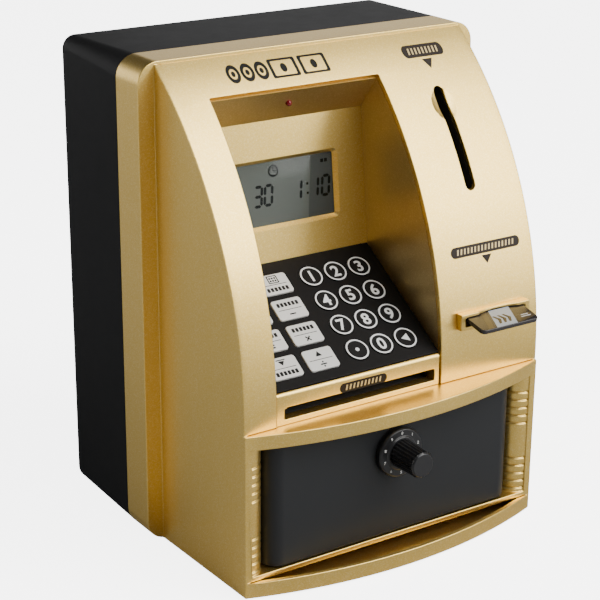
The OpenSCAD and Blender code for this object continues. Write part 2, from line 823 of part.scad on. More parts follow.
module display_tub() {
    long_path = [recess_path[0], recess_path[1], recess_path[2], recess_path[3] + hood_vector];
    wall_path = [recess_path[1], recess_path[2], recess_path[3] + hood_vector];
    side_depth = -plate_t - 3;
    outside = [-5, window_top + 40];
    rail_w = 1.2;
    seated() color(gold) difference() {
        intersection() {
            union() {
                along_x(recess_x0 - tub_t, recess_x1 + tub_t) polygon(band(wall_path, 0, -tub_t));
                for (x = [recess_x0 - tub_t, recess_x1])
                    along_x(x, x + tub_t)
                        polygon(concat(offset_path(long_path, side_depth), [outside, [0, keypad_foot[1]]]));
                // rails under the keypad plate
                for (x = [recess_x0 - seat, recess_x1 - rail_w + seat])
                    on_keypad() box([x, -keypad_len + 1, -plate_t - 2.5], [x + rail_w, -1, -plate_t - seat]);
                // flange behind the face panel
                difference() {
                    behind_face(panel_t + seat, keypad_foot[1] + 8, window_top + 6, body_w / 2, rim_y);
                    behind_face(panel_t + seat + tub_t, 0, body_h, body_w, rim_y + over);
                    box([-body_w, -over, 0], [recess_x0 - 5, body_d, body_h]);
                    box([recess_x1 + 5, -over, 0], [body_w, body_d, body_h]);
                }
            }
            behind_face(panel_t + seat, keypad_foot[1] - 2, face_top - rebate - wall - 1, body_w / 2, rim_y + 20);
        }
        // the recess itself, down to the underside of the keypad plate
        plate_seat = left_of(keypad_dir) * -(plate_t + seat);
        along_x(recess_x0, recess_x1)
            polygon([keypad_foot - keypad_dir * 9 + plate_seat, keypad_head + plate_seat, keypad_head,
                     screen_head, window_edge + hood_vector, outside]);
        on_screen_wall() lcd_opening();
        on_hood() translate([0, -led_in, -tub_t - over]) cylinder(d = led_d + 2 * fit, h = tub_t + 2 * over);
    }
}

module square_outline(grow) {
    rounded_rect(square_w + 2 * grow, square_h + 2 * grow, square_r + max(grow, 0));
}

// Places a child at each round or square key: column and row from the top left
module at_round(i) {
    translate([round_x + (i % round_cols) * round_pitch, -row_first - floor(i / round_cols) * row_pitch, 0])
        children();
}

module at_square(i) {
    translate([square_x + (i % square_cols) * square_pitch,
               -row_first - floor(i / square_cols) * row_pitch, 0])
        children();
}

module keypad_plate() {
    seated() color(black) on_keypad() {
        difference() {
            translate([0, 0, -plate_t])
                box([recess_x0 + seat, -keypad_len, 0], [recess_x1 - seat, -seat, plate_t]);
            for (i = [0:len(round_names) - 1])
                at_round(i) translate([0, 0, -plate_t - over])
                    cylinder(d = round_d + 2 * key_gap, h = plate_t + 2 * over);
            for (i = [0:len(square_names) - 1])
                at_square(i) translate([0, 0, -plate_t - over]) linear_extrude(plate_t + 2 * over)
                    square_outline(key_gap);
        }
        // spacer rim that holds the mat and the board
        difference() {
            box([pad_x0, -pad_s1, mat_top], [pad_x1, -pad_s0, -plate_t]);
            box([pad_x0 + rim_t, -pad_s1 + rim_t, mat_top - over], [pad_x1 - rim_t, -pad_s0 - rim_t, -plate_t]);
        }
    }
}

module key_mat() {
    seated() color(rubber) on_keypad()
        box([pad_x0, -pad_s1, board_top], [pad_x1, -pad_s0, mat_top]);
}

module keypad_board() {
    seated() color(board_green) on_keypad() {
        box([pad_x0, -pad_s1, board_top - board_t], [pad_x1, -pad_s0, board_top]);
        // cable connector at the head of the board
        box([recess_mid - 10, -14, board_top - board_t - 4], [recess_mid + 10, -9, board_top - board_t]);
    }
}

module round_key(i) {
    seated() color(black) on_keypad() at_round(i) {
        translate([0, 0, flange_top]) cylinder(d = round_d, h = key_proud - flange_top);
        translate([0, 0, flange_top - flange_t]) cylinder(d = round_d + 2 * flange_rim, h = flange_t);
    }
}

module square_key(i) {
    seated() color(ivory) on_keypad() at_square(i) {
        translate([0, 0, flange_top]) linear_extrude(key_proud - flange_top) square_outline(0);
        translate([0, 0, flange_top - flange_t]) linear_extrude(flange_t) square_outline(flange_rim);
    }
}

module lcd_window() {
    seated() color([0.8, 0.85, 0.85, 0.4]) on_screen_wall()
        box([-lcd_w / 2 - 2, lcd_up - lcd_h / 2 - 2, -tub_t - 0.8], [lcd_w / 2 + 2, lcd_up + lcd_h / 2 + 2, -tub_t]);
}

module lcd_panel() {
    glass_t = 2.8;
    back = -tub_t - 0.8 - glass_t;
    seated() color([0.5, 0.55, 0.5]) on_screen_wall() {
        box([-lcd_w / 2 - 3, lcd_up - lcd_h / 2 - 4, back], [lcd_w / 2 + 3, lcd_up + lcd_h / 2 + 3, back + glass_t]);
        box([-lcd_w / 2, lcd_up - lcd_h / 2 - 3, back - 1.6], [lcd_w / 2, lcd_up + lcd_h / 2, back]);
    }
}

module led() {
    seated() color([0.5, 0.05, 0.08]) on_hood() translate([0, -led_in, 0]) {
        translate([0, 0, -tub_t - 1]) cylinder(d = led_d + 0.8, h = 1);
        translate([0, 0, -tub_t - 2]) cylinder(d = led_d, h = tub_t + 2.4);
        translate([0, 0, 0.4]) sphere(d = led_d);
    }
}

module main_board() {
    t = 1.6;
    back = main_board_y + t;
    middle_z = (board_z0 + board_z1) / 2;
    seated() {
        color(board_green) box([board_x0, main_board_y, board_z0], [board_x1, back, board_z1]);
        color(black) translate([recess_mid - 14, back, middle_z - chip_size[2] / 2]) cube(chip_size);
        color(steel) for (x = [-24, 24])
            bar_along_y([recess_mid + x, middle_z + 3 * capacitor_r + capacitor_l], capacitor_r, back, back + capacitor_l);
        // stand-offs to the back of the screen wall
        color(ivory) for (x = [-standoff_x, standoff_x], up = standoff_up)
            bar_along_y([recess_mid + x, keypad_head[1] + up], standoff_r,
                        keypad_head[0] + tub_t + 0.6 + up * tan(screen_tilt), main_board_y);
    }
}

module card_bezel() {
    y0 = -bezel_proud;
    y1 = face_y(bezel_z) + panel_t;
    scoop_half = 12.5;
    scoop_depth = 1.9;
    scoop_r = (pow(scoop_half, 2) + pow(scoop_depth, 2)) / (2 * scoop_depth);
    seated() color(gold) difference() {
        union() {
            difference() {
                box([card_x - bezel_w / 2, y0, bezel_z], [card_x + bezel_w / 2, y1, bezel_z + bezel_h]);
                behind_face(-seat, 0, body_h, body_w, 40);
            }
            box([card_x - bezel_w / 2 + 1, y0 + 1, bezel_z + 1],
                [card_x + bezel_w / 2 - 1, y1 + 1, bezel_z + bezel_h - 1]);
        }
        box([card_x - card_w / 2 - 1, y0 - over, bezel_z + 1.9],
            [card_x + card_w / 2 + 1, y1 + 3, bezel_z + bezel_h - 1.7]);
        // scoop for the thumb
        translate([card_x + 1.4, y0 + scoop_depth - scoop_r, bezel_z + bezel_h - 2])
            cylinder(r = scoop_r, h = 4, $fn = 96);
        on_card() card_opening(card_room);
    }
}

module card_guide() {
    card_low = bezel_z - card_l / 2;
    card_high = bezel_z + card_l;
    seated() color(black) difference() {
        on_card() difference() {
            box([-card_w / 2 - card_room - guide_t, guide_start, -card_t - card_room - guide_t],
                [card_w / 2 + card_room + guide_t, guide_end, card_room + guide_t]);
            box([-card_w / 2 - card_room, guide_start - over, -card_t - card_room],
                [card_w / 2 + card_room, guide_end - guide_t, card_room]);
            // contact window under the switch
            box([-3, guide_end - 12, 0], [3, guide_end - 6, card_room + guide_t + over]);
        }
        difference() {
            box([0, -card_l, card_low], [body_w, card_l, card_high]);
            behind_face(panel_t + 1.2, card_low, card_high, body_w, 70);
        }
    }
}

module card_outline() {
    translate([0, card_l / 2 - card_out]) rounded_rect(card_w, card_l, card_r);
}

module cash_card() {
    seated() color(black) on_card() translate([0, 0, -card_t]) linear_extrude(card_t) card_outline();
}

module card_switch() {
    seated() color(black) on_card() translate([-switch_size[0] / 2, guide_end - 13, card_room + guide_t])
        cube(switch_size);
}

// Side outline of the coin channel, open to the face and to the safe
function chute_path() = [[chute_y, safe_top - 20], [chute_y, chute_bend_z], [chute_throat, coin_z0 + 12],
                         [chute_throat, coin_z1 + 9.5], [face_y(coin_z1) + 2, coin_z1 + 1.6],
                         [chute_back, coin_z1 - 22.5], [chute_back, safe_top - 20]];

module coin_chute() {
    path = chute_path();
    seated() color(black) difference() {
        union() {
            intersection() {
                along_x(chute_x0, chute_x1) polygon(offset_path(path, chute_t));
                behind_face(panel_t + seat, safe_top, body_h, body_w / 2, body_d);
            }
            // ears that carry the lever's pin
            for (x = [chute_x0, chute_x1 - chute_t])
                box([x, chute_back + chute_t, lever_z - 5], [x + chute_t, lever_y + 3.5, lever_z + 5]);
        }
        along_x(coin_x - coin_w / 2, coin_x + coin_w / 2) polygon(path);
        box([coin_x - 1.6, chute_back - over, lever_z - 10], [coin_x + 1.6, chute_back + chute_t + over, lever_z + 2]);
        bar_x([lever_y, lever_z], lever_pin_r + fit, chute_x0 - over, chute_x1 + over);
    }
}

module coin_lever() {
    seated() color(steel) {
        bar_x([lever_y, lever_z], lever_pin_r, chute_x0, chute_x1);
        bar_x([lever_y, lever_z], 2, coin_x - 1.1, coin_x + 1.1);
        translate([coin_x - 1.1, lever_y, lever_z]) rotate([lever_lean, 0, 0]) {
            translate([0, -lever_reach, -1]) cube([2.2, lever_reach, 2]);
            bar_x([-lever_reach, 0], 1, 0, 2.2);
        }
    }
}

module note_guide() {
    cheek = [[bar_back + 0.2, slot_z - 1.4], [recess_depth + 0.3, slot_z - 1.4], [recess_depth + 0.3, safe_top],
             [guide_back, safe_top], [guide_back, drive_z + 6], [roller_y - 1, drive_z + 6],
             [bar_back + 0.2, slot_z + slot_h + 1.4]];
    chute_r = 10;
    plate = 1;
    seated() color(black) {
        difference() {
            for (x = [cheek_x0, cheek_x1])
                along_x(x, x + cheek_t) polygon(cheek);
            for (z = [pinch_z, drive_z])
                bar_x([roller_y, z], axle_r + fit, cheek_x0 - over, cheek_x1 + cheek_t + over);
        }
        // plates that lead a note between the rollers
        box([cheek_x0 + cheek_t, bar_back + 0.2, slot_z - 1.4],
            [cheek_x1, roller_y - roller_r - 0.6, slot_z - 1.4 + plate]);
        box([cheek_x0 + cheek_t, bar_back + 0.2, slot_z + slot_h + 0.4],
            [cheek_x1, roller_y - roller_r - 0.6, slot_z + slot_h + 0.4 + plate]);
        // curved plate that turns the note down into the safe
        intersection() {
            difference() {
                bar_x([guide_back - chute_r - 1.2, safe_top + 5], chute_r + 1.2, cheek_x0 + cheek_t, cheek_x1);
                bar_x([guide_back - chute_r - 1.2, safe_top + 5], chute_r, cheek_x0, cheek_x1 + cheek_t);
            }
            box([-body_w, guide_back - chute_r - 1.2, safe_top + 5], [body_w, guide_back, 120]);
        }
        box([cheek_x0 + cheek_t, guide_back - 1.2, safe_top], [cheek_x1, guide_back, safe_top + 5]);
        motor_bracket();
    }
}

module motor_bracket() {
    x0 = motor_x - bracket_t;
    difference() {
        union() {
            box([x0, roller_y + 2.5, motor_z - 8], [motor_x, motor_y + 8.5, motor_z + 8.5]);
            // arms from the cheek, behind the pinion
            for (z = [drive_z - 8, drive_z + 2])
                box([cheek_x1 + cheek_t, guide_back - 2.2, z], [motor_x, guide_back, z + 4]);
        }
        bar_x([motor_y, motor_z], 2.6, x0 - over, motor_x + over);
    }
}

module drive_motor() {
    seated() color(steel) difference() {
        union() {
            bar_x([motor_y, motor_z], motor_d / 2, motor_x, motor_x + motor_l);
            bar_x([motor_y, motor_z], 2.5, motor_x - 1, motor_x);
            bar_x([motor_y, motor_z], 3, motor_x + motor_l, motor_x + motor_l + 1.2);
        }
        bar_x([motor_y, motor_z], motor_shaft_r + fit, motor_x - 2, motor_x + 7);
    }
}

module feed_roller(z, end) {
    tyre_x0 = cheek_x0 + cheek_t + 0.8;
    tyre_x1 = cheek_x1 - 0.8;
    color(steel) bar_x([roller_y, z], axle_r, cheek_x0 - 1.5, end);
    color(rubber) difference() {
        bar_x([roller_y, z], roller_r, tyre_x0, tyre_x1);
        bar_x([roller_y, z], axle_r, tyre_x0 - over, tyre_x1 + over);
    }
}

module drive_roller() {
    seated() union() feed_roller(drive_z, gear_x + gear_w);
}

module pinch_roller() {
    seated() union() feed_roller(pinch_z, cheek_x1 + cheek_t);
}

// Involute gear outline
function involute(a) = (tan(a) - a * PI / 180) * 180 / PI;
function tooth_half(n, r) =
    let (base = gear_module * n / 2 * cos(tooth_angle))
    (90 - 57.3 * tooth_play / gear_module) / n + involute(tooth_angle) - involute(acos(min(1, base / r)));
function gear_outline(n) =
    let (root = gear_module * (n / 2 - 1.25), tip = gear_module * (n / 2 + 1),
         base = max(root, gear_module * n / 2 * cos(tooth_angle)),
         radii = [root, base, base + (tip - base) / 3, base + (tip - base) * 2 / 3, tip])
    [for (i = [0:n - 1], j = [0:9])
        let (k = j < 5 ? j : 9 - j, r = radii[k], a = (j < 5 ? -1 : 1) * tooth_half(n, r) + 360 * i / n)
        r * [cos(a), sin(a)]];

module roller_gear() {
    seated() color(ivory) translate([gear_x, roller_y, drive_z]) rotate([90, 0, 90]) difference() {
        linear_extrude(gear_w) rotate(gear_lean) polygon(gear_outline(roller_teeth));
        translate([0, 0, -over]) cylinder(r = axle_r + fit, h = gear_w + 2 * over);
    }
}

module motor_gear() {
    half_tooth = 180 / motor_teeth;
    seated() {
        color(brass) translate([gear_x - 0.3, motor_y, motor_z]) rotate([90, 0, 90])
            linear_extrude(gear_w + 0.6) rotate(gear_lean + 180 + half_tooth) polygon(gear_outline(motor_teeth));
        color(steel) bar_x([motor_y, motor_z], motor_shaft_r, gear_x + gear_w, motor_x + 6);
    }
}

module safe_box() {
    half = safe_half;
    notes_x0 = cheek_x0 + cheek_t;
    seated() color(grey) difference() {
        union() {
            difference() {
                box([-half, safe_front, safe_bottom], [half, safe_back, safe_top]);
                box([-half + safe_t, safe_front - over, safe_bottom + safe_t],
                    [half - safe_t, safe_back - safe_t, safe_top - safe_t]);
            }
            // front of the roof, which closes the gap behind the ceiling
            box([ceiling_end + 1, ceiling_y + 0.2, safe_top - safe_t], [pier_x - 0.2, safe_front, safe_top]);
        }
        box([notes_x0, roller_y + roller_r, safe_top - safe_t - over],
            [cheek_x1, guide_back - 1.4, safe_top + over]);
        box([coin_x - coin_w / 2, chute_y, safe_top - safe_t - over],
            [coin_x + coin_w / 2, chute_back, safe_top + over]);
        // clearance of the latch tongue
        box([-tongue_w / 2 - tongue_side, ceiling_y, safe_top - safe_t - over],
            [tongue_l - 5, tongue_y + tongue_t + tongue_back, safe_top + over]);
    }
}

// Outline of the door from above: flat front with round ends
module door_plan(in) {
    half = door_half - in;
    r = door_r - in;
    translate([-half + r, door_pivot[1] - r]) square([2 * (half - r), r]);
    for (s = [-1, 1])
        intersection() {
            translate([s * (half - r), door_pivot[1]]) circle(r = r);
            translate([s > 0 ? half - r : -half, door_pivot[1] - r]) square([r, r]);
        }
}

module door() {
    knuckle_r = 4;
    knuckle_h = 10;
    seated() color(black) difference() {
        union() {
            difference() {
                along_z(door_z0, door_z1) door_plan(0);
                along_z(door_z0 + door_t, door_z1 - door_t) door_plan(door_t);
                box([-door_half + door_t, door_pivot[1] - 0.01, door_z0 + door_t],
                    [door_half - door_t, door_pivot[1] + over, door_z1 - door_t]);
            }
            // hinge knuckles
            for (z = [door_z0, door_z1 - knuckle_h])
                translate([door_pivot[0], door_pivot[1], z]) {
                    cylinder(r = knuckle_r, h = knuckle_h);
                    box([-1.2, -door_r + 1, 0], [1.2, 0, knuckle_h]);
                }
            bar_along_y([0, knob_z], boss_r, door_y + 1, boss_end);
            // stiffening ribs
            for (x = [-34, 34])
                box([x - 0.8, door_y + 1, door_z0 + 1], [x + 0.8, door_pivot[1], door_z1 - 1]);
        }
        bar_along_y([0, knob_z], shaft_r + fit, door_y - over, boss_end + over);
        translate([door_pivot[0], door_pivot[1], door_z0 - over]) cylinder(r = pin_r + fit, h = door_z1 - door_z0 + 2 * over);
    }
}

module hinge_pin() {
    seated() color(steel) translate([door_pivot[0], door_pivot[1], base_top - 1.8])
        cylinder(r = pin_r, h = ledge_z - wall - base_top);
}

module dial_plate() {
    r = dial_d / 2;
    ring_r = r - 4.5;
    seated() color(black) translate([0, door_y, knob_z]) rotate([90, 0, 0]) rotate_extrude($fn = 72)
        polygon([[shaft_r + fit, 0], [r, 0], [r, dial_t - 1.6], [r - 0.9, dial_t - 0.7], [ring_r + 0.6, dial_t - 0.7],
                 [ring_r, dial_t], [shaft_r + fit, dial_t]]);
}

module knob() {
    skirt = 1.2;
    rib = 0.45;
    base_r = knob_d / 2;
    seated() color(black) {
        translate([0, door_y - dial_t - gap, knob_z]) rotate([90, 0, 0]) {
            linear_extrude(knob_l - skirt, scale = knob_front_d / knob_d)
                polygon([for (i = [0:knob_ribs - 1], j = [0:3])
                    let (a = 360 * (i + [-0.32, -0.14, 0.14, 0.32][j]) / knob_ribs, r = base_r - [rib, 0, 0, rib][j])
                    r * [cos(a), sin(a)]]);
            translate([0, 0, knob_l - skirt - 0.01]) cylinder(d1 = knob_front_d, d2 = knob_front_d - 1.6, h = skirt + 0.01);
        }
        bar_along_y([0, knob_z], shaft_r, door_y - dial_t - gap - 0.2, tongue_y + tongue_t);
    }
}

module latch_cam() {
    seated() color(steel) difference() {
        union() {
            bar_along_y([0, knob_z], boss_r, tongue_y, tongue_y + tongue_t);
            box([0, tongue_y, knob_z - tongue_w / 2], [tongue_l, tongue_y + tongue_t, knob_z + tongue_w / 2]);
        }
        bar_along_y([0, knob_z], shaft_r + 0.01, tongue_y - over, tongue_y + tongue_t + over);
    }
}

module lock_solenoid() {
    seated() color(grey) difference() {
        box([solenoid_x, ceiling_y + 0.6, safe_top], [solenoid_x + solenoid_l, plunger_y + 6, bolt_z + 6.2]);
        bar_x([plunger_y, bolt_z], plunger_r + 0.08, solenoid_x - over, solenoid_x + solenoid_l - 1.5);
    }
}

module lock_plunger() {
    seated() color(steel) {
        bar_x([bolt_y, bolt_z], bolt_r, bolt_tip, arm_x + 0.5);
        box([arm_x, bolt_y - bolt_r, bolt_z - 1.6], [arm_x + arm_t, plunger_y + 2, bolt_z + 1.6]);
        bar_x([plunger_y, bolt_z], plunger_r, arm_x + 0.5, solenoid_x + solenoid_l - 2.2);
    }
}

module battery_box() {
    half = battery_w / 2;
    z0 = battery_z - battery_h / 2;
    z1 = battery_z + battery_h / 2;
    seated() color(dark_shell) difference() {
        box([-half - battery_t, battery_y0, z0 - battery_t], [half + battery_t, body_d - wall, z1 + battery_t]);
        box([-half, battery_y0 + battery_t, z0], [half, body_d, z1]);
    }
}

module battery_cells() {
    seated() for (i = [0:cell_n - 1]) {
        z = battery_z + (i - (cell_n - 1) / 2) * cell_pitch;
        flip = i % 2 == 0 ? 1 : -1;
        y = battery_y0 + battery_t + cell_d / 2 + 0.1;
        color(board_green) bar_x([y, z], cell_d / 2, -cell_l / 2 + 1, cell_l / 2 - 1);
        color(steel) bar_x([y, z], 2.8, flip > 0 ? cell_l / 2 - 1 : -cell_l / 2, flip > 0 ? cell_l / 2 : -cell_l / 2 + 1);
    }
}

module battery_contacts() {
    plate = 0.4;
    half = cell_pitch / 3;
    spring_r = cell_d * 0.155;
    seated() color(steel) for (i = [0:cell_n - 1], s = [-1, 1]) {
        z = battery_z + (i - (cell_n - 1) / 2) * cell_pitch;
        y = battery_y0 + battery_t + cell_d / 2 + 0.1;
        x = battery_w / 2 - plate;
        flip = i % 2 == 0 ? 1 : -1;
        reach = s == flip ? x - cell_l / 2 - 0.1 : x - cell_l / 2 + 0.9;
        box([s > 0 ? x : -x - plate, y - half, z - half], [s > 0 ? x + plate : -x, y + half, z + half]);
        bar_x([y, z], spring_r, s > 0 ? x - reach : -x, s > 0 ? x : -x + reach);
    }
}

module battery_cover() {
    seated() color(dark_shell) {
        box([-cover_half, cover_y - cover_t / 2, cover_z0], [cover_half, cover_y + cover_t / 2, cover_z1]);
        // hinge pins at the lower edge
        bar_x([cover_y, cover_z0], cover_r, -cover_half - cover_pin, cover_half + cover_pin);
    }
}

module speaker() {
    seated() color(grey) {
        rim_y0 = body_d - wall - speaker_rim_t;
        bar_along_y([speaker_x, speaker_z], speaker_d / 2, rim_y0, body_d - wall);
        bar_along_y([speaker_x, speaker_z], speaker_d / 4, rim_y0 - speaker_magnet_l, rim_y0);
    }
}

module rubber_feet() {
    seated() color(rubber) both_sides() for (y = foot_y)
        translate([foot_x, y, -foot_t]) cylinder(d = foot_d, h = foot_t);
}

module shell_screws() {
    head_y = screw_seat_y + wall;
    seated() color(steel) both_sides() for (z = screw_heights) {
        bar_along_y([screw_x, z], screw_r, rim_y + wall + 6, head_y);
        bar_along_y([screw_x, z], 2.8, head_y, head_y + 2);
    }
}

rear_shell();
front_shell();
face_panel();
display_tub();
slot_bar();
keypad_plate();
key_mat();
keypad_board();
main_board();
lcd_panel();
lcd_window();
led();
card_bezel();
card_guide();
cash_card();
card_switch();
coin_chute();
coin_lever();
note_guide();
drive_roller();
pinch_roller();
roller_gear();
motor_gear();
drive_motor();
safe_box();
door();
hinge_pin();
dial_plate();
knob();
latch_cam();
lock_solenoid();
lock_plunger();
battery_box();
battery_cells();
battery_contacts();
battery_cover();
speaker();
rubber_feet();
shell_screws();
for (i = [0:len(round_names) - 1])
    round_key(i);
for (i = [0:len(square_names) - 1])
    square_key(i);
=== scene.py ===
import json
import math

import bmesh
import bpy
import numpy as np
from mathutils import Matrix


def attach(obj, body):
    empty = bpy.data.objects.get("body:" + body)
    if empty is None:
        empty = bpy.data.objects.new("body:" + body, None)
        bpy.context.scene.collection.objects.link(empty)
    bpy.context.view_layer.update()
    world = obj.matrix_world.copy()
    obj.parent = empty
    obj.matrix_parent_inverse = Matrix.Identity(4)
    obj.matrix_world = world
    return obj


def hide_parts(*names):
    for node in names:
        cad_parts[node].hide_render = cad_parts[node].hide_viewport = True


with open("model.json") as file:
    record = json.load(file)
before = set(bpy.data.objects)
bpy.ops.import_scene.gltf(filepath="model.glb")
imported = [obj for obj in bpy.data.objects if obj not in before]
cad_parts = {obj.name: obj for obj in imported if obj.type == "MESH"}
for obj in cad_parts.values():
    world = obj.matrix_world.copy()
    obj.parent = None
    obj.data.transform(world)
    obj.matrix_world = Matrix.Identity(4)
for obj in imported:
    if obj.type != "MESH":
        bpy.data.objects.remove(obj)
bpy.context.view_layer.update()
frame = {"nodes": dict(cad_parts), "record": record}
record = frame["record"]
bodyOf = {node: body for body, nodes in record["behaviour"]["bodies"].items() for node in nodes}
print("frame loaded:", len(frame["nodes"]), "nodes")

# Places on the housing, in millimetres: x to the right, y back from the front plane, z up from the base
housing = {"middleY": 65.9, "footHeight": 1.0, "faceRadius": 191.0, "faceCentreY": 192.0, "faceCentreZ": 86.0}

# Flat places that carry prints: a point on the plane and the plane's slope from the horizontal
planes = {
    "keypad": {"x": 0.0, "y": 62.3918, "z": 135.282, "slope": 32.8},
    "screen": {"x": -21.0, "y": 62.3918, "z": 135.282, "slope": 83.5},
    "hood": {"x": -21.0, "y": 56.2884, "z": 220.4, "slope": 127.28},
    "card": {"x": 56.1, "y": -0.75, "z": 112.5, "slope": 12.8},
    "bar": {"x": 0.0, "y": 2.0, "z": 0.0, "slope": 90.0},
    "dial": {"x": 0.0, "y": -3.3, "z": 53.5, "slope": 90.0},
}


def toFrame(x, y, z):
    # millimetres on the housing to metres in the row's frame
    x, y, z = np.broadcast_arrays(x, y, z)
    return np.stack([x, y - housing["middleY"], z + housing["footHeight"]], -1) / 1000


def onPlane(name):
    plane = planes[name]
    c, s = math.cos(math.radians(plane["slope"])), math.sin(math.radians(plane["slope"]))

    def place(a, b, h):
        # a runs along x, b up the slope and h straight out of the plane
        return toFrame(plane["x"] + a, plane["y"] + b * c - h * s, plane["z"] + b * s + h * c)
    return place


def onFace(x, z, h):
    # the curved face is a cylinder about an axis along x: the radius grows by h, the height z stays
    r = housing["faceRadius"]
    up = (z - housing["faceCentreZ"]) / r
    back = -np.sqrt(1 - up * up)
    return toFrame(x, housing["faceCentreY"] + (r + h) * back, housing["faceCentreZ"] + (r + h) * up)


# Outlines
def roundedOutline(width, height, radius, count, centre):
    # corner centre plus radius times (cos t, sin t), the corner changing at each quarter turn
    t = (np.arange(count) + 0.5) / count * 2 * np.pi
    a = np.sign(np.cos(t)) * (width / 2 - radius) + radius * np.cos(t)
    b = np.sign(np.sin(t)) * (height / 2 - radius) + radius * np.sin(t)
    return np.stack([a + centre[0], b + centre[1]], -1)


def polygonOutline(corners, steps=4):
    # straight runs between the corners, each cut into equal steps
    corners = np.array(corners, float)
    ends = np.roll(corners, -1, axis=0)
    t = np.arange(steps)[None, :, None] / steps
    return (corners[:, None] * (1 - t) + ends[:, None] * t).reshape(-1, 2)


def crossOutline(reach, arm, turn, centre):
    # twelve corners of a plus sign, turned about its middle
    p = np.array([(arm, arm), (arm, reach), (-arm, reach), (-arm, arm), (-reach, arm), (-reach, -arm),
                  (-arm, -arm), (-arm, -reach), (arm, -reach), (arm, -arm), (reach, -arm), (reach, arm)])
    c, s = math.cos(math.radians(turn)), math.sin(math.radians(turn))
    return polygonOutline(p @ np.array([[c, s], [-s, c]]) + centre, 2)


# Surfaces, each of points and faces
def ringFaces(rows, count, start=0):
    # quads between neighbouring closed rows of count points
    i = np.arange(rows - 1)[:, None] * count + np.arange(count)[None, :] + start
    j = np.arange(rows - 1)[:, None] * count + np.roll(np.arange(count), -1)[None, :] + start
    return np.stack([i, j, j + count, i + count], -1).reshape(-1, 4).tolist()


def drawnIn(outline, place, shares, heights):
    # middle + s (outline - middle) for each share s, laid at the height that goes with it
    middle = outline.mean(0)
    flat = middle + shares[:, None, None] * (outline - middle)[None]
    level = np.broadcast_to(heights[:, None], flat.shape[:2])
    return place(flat[..., 0], flat[..., 1], level).reshape(-1, 3)


def patch(outline, place, lift, sink=0.05, edge=0.03):
    # a flat top at the height lift, with a soft edge down to -sink
    shares = np.array([0.35, 0.7, 0.93, 1.0, 1.0])
    heights = np.array([lift, lift, lift, lift - edge * (lift + sink), -sink])
    middle = outline.mean(0)
    top = place(np.array([middle[0]]), np.array([middle[1]]), np.array([lift]))
    n = len(outline)
    k = np.arange(n)
    faces = ringFaces(len(shares), n, 1)
    faces += np.stack([np.zeros(n, int), k + 1, np.roll(k, -1) + 1], -1).tolist()
    return np.vstack([top, drawnIn(outline, place, shares, heights)]), faces


def border(outline, place, width, lift, sink=0.05):
    # the outline and a copy drawn in towards its middle, joined by a flat top with steep sides
    size = np.linalg.norm(outline - outline.mean(0), axis=1).mean()
    hollow = 1 - width / size
    shares = np.array([hollow, hollow, 1.0, 1.0])
    heights = np.array([-sink, lift, lift, -sink])
    return drawnIn(outline, place, shares, heights), ringFaces(4, len(outline))


def turned(profile, place, centre, count):
    # a profile of radius and height carried round the centre: a = r cos t, b = r sin t
    t = np.arange(count) / count * 2 * np.pi
    r, h = np.array(profile, float).T
    a = centre[0] + r[:, None] * np.cos(t)
    b = centre[1] + r[:, None] * np.sin(t)
    points = place(a, b, np.broadcast_to(h[:, None], a.shape)).reshape(-1, 3)
    return points, ringFaces(len(r), count)


def addObject(name, data):
    made = bpy.data.objects.new(name, data)
    bpy.context.scene.collection.objects.link(made)
    return made


def numeral(text, size, place, centre, lift, weight, sink=0.05):
    # the built-in font's outline, one unit thick, laid on its place
    curve = bpy.data.curves.new("numeral", "FONT")
    curve.body, curve.size, curve.extrude, curve.offset, curve.resolution_u = text, size, 1.0, weight, 5
    curve.align_x, curve.align_y = "CENTER", "CENTER"
    holder = addObject("numeral", curve)
    bpy.context.view_layer.update()
    mesh = bpy.data.meshes.new_from_object(holder.evaluated_get(bpy.context.evaluated_depsgraph_get()))
    co = np.zeros(len(mesh.vertices) * 3)
    mesh.vertices.foreach_get("co", co)
    co = co.reshape(-1, 3)
    middle = (co.min(0) + co.max(0)) / 2
    faces = [list(face.vertices) for face in mesh.polygons]
    bpy.data.objects.remove(holder)
    bpy.data.curves.remove(curve)
    bpy.data.meshes.remove(mesh)
    h = np.where(co[:, 2] > 0, lift, -sink)
    return place(co[:, 0] - middle[0] + centre[0], co[:, 1] - middle[1] + centre[1], h), faces


# Distances at which points are joined, in metres, and what counts as flat, in degrees
joining = {"piece": 1e-7, "solid": 1e-6, "flat": 1.0}


def buildPiece(name, parts, material, body, smooth=False):
    # several surfaces become one piece that rides on a body
    points, faces, start = [], [], 0
    for p, f in parts:
        points.append(p)
        faces += [[k + start for k in face] for face in f]
        start += len(p)
    mesh = bpy.data.meshes.new(name)
    mesh.from_pydata(np.vstack(points).tolist(), [], faces)
    form = bmesh.new()
    form.from_mesh(mesh)
    bmesh.ops.remove_doubles(form, verts=form.verts, dist=joining["piece"])
    bmesh.ops.recalc_face_normals(form, faces=form.faces)
    form.to_mesh(mesh)
    form.free()
    mesh.polygons.foreach_set("use_smooth", [smooth] * len(mesh.polygons))
    mesh.materials.append(material)
    piece = addObject(name, mesh)
    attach(piece, body)
    return piece


# Shared effects
vectorKind, colourKind, numberKind = "NodeSocketVector", "NodeSocketColor", "NodeSocketFloat"


def newGroup(name, inputs, outputs):
    # every group takes the place on the piece as its first input
    group = bpy.data.node_groups.new(name, "ShaderNodeTree")
    group.interface.new_socket(name="Position", in_out="INPUT", socket_type=vectorKind)
    for socket, kind, value in inputs:
        made = group.interface.new_socket(name=socket, in_out="INPUT", socket_type=kind)
        made.default_value = value
    for socket, kind in outputs:
        group.interface.new_socket(name=socket, in_out="OUTPUT", socket_type=kind)
    return group, group.nodes.new("NodeGroupInput").outputs, group.nodes.new("NodeGroupOutput").inputs


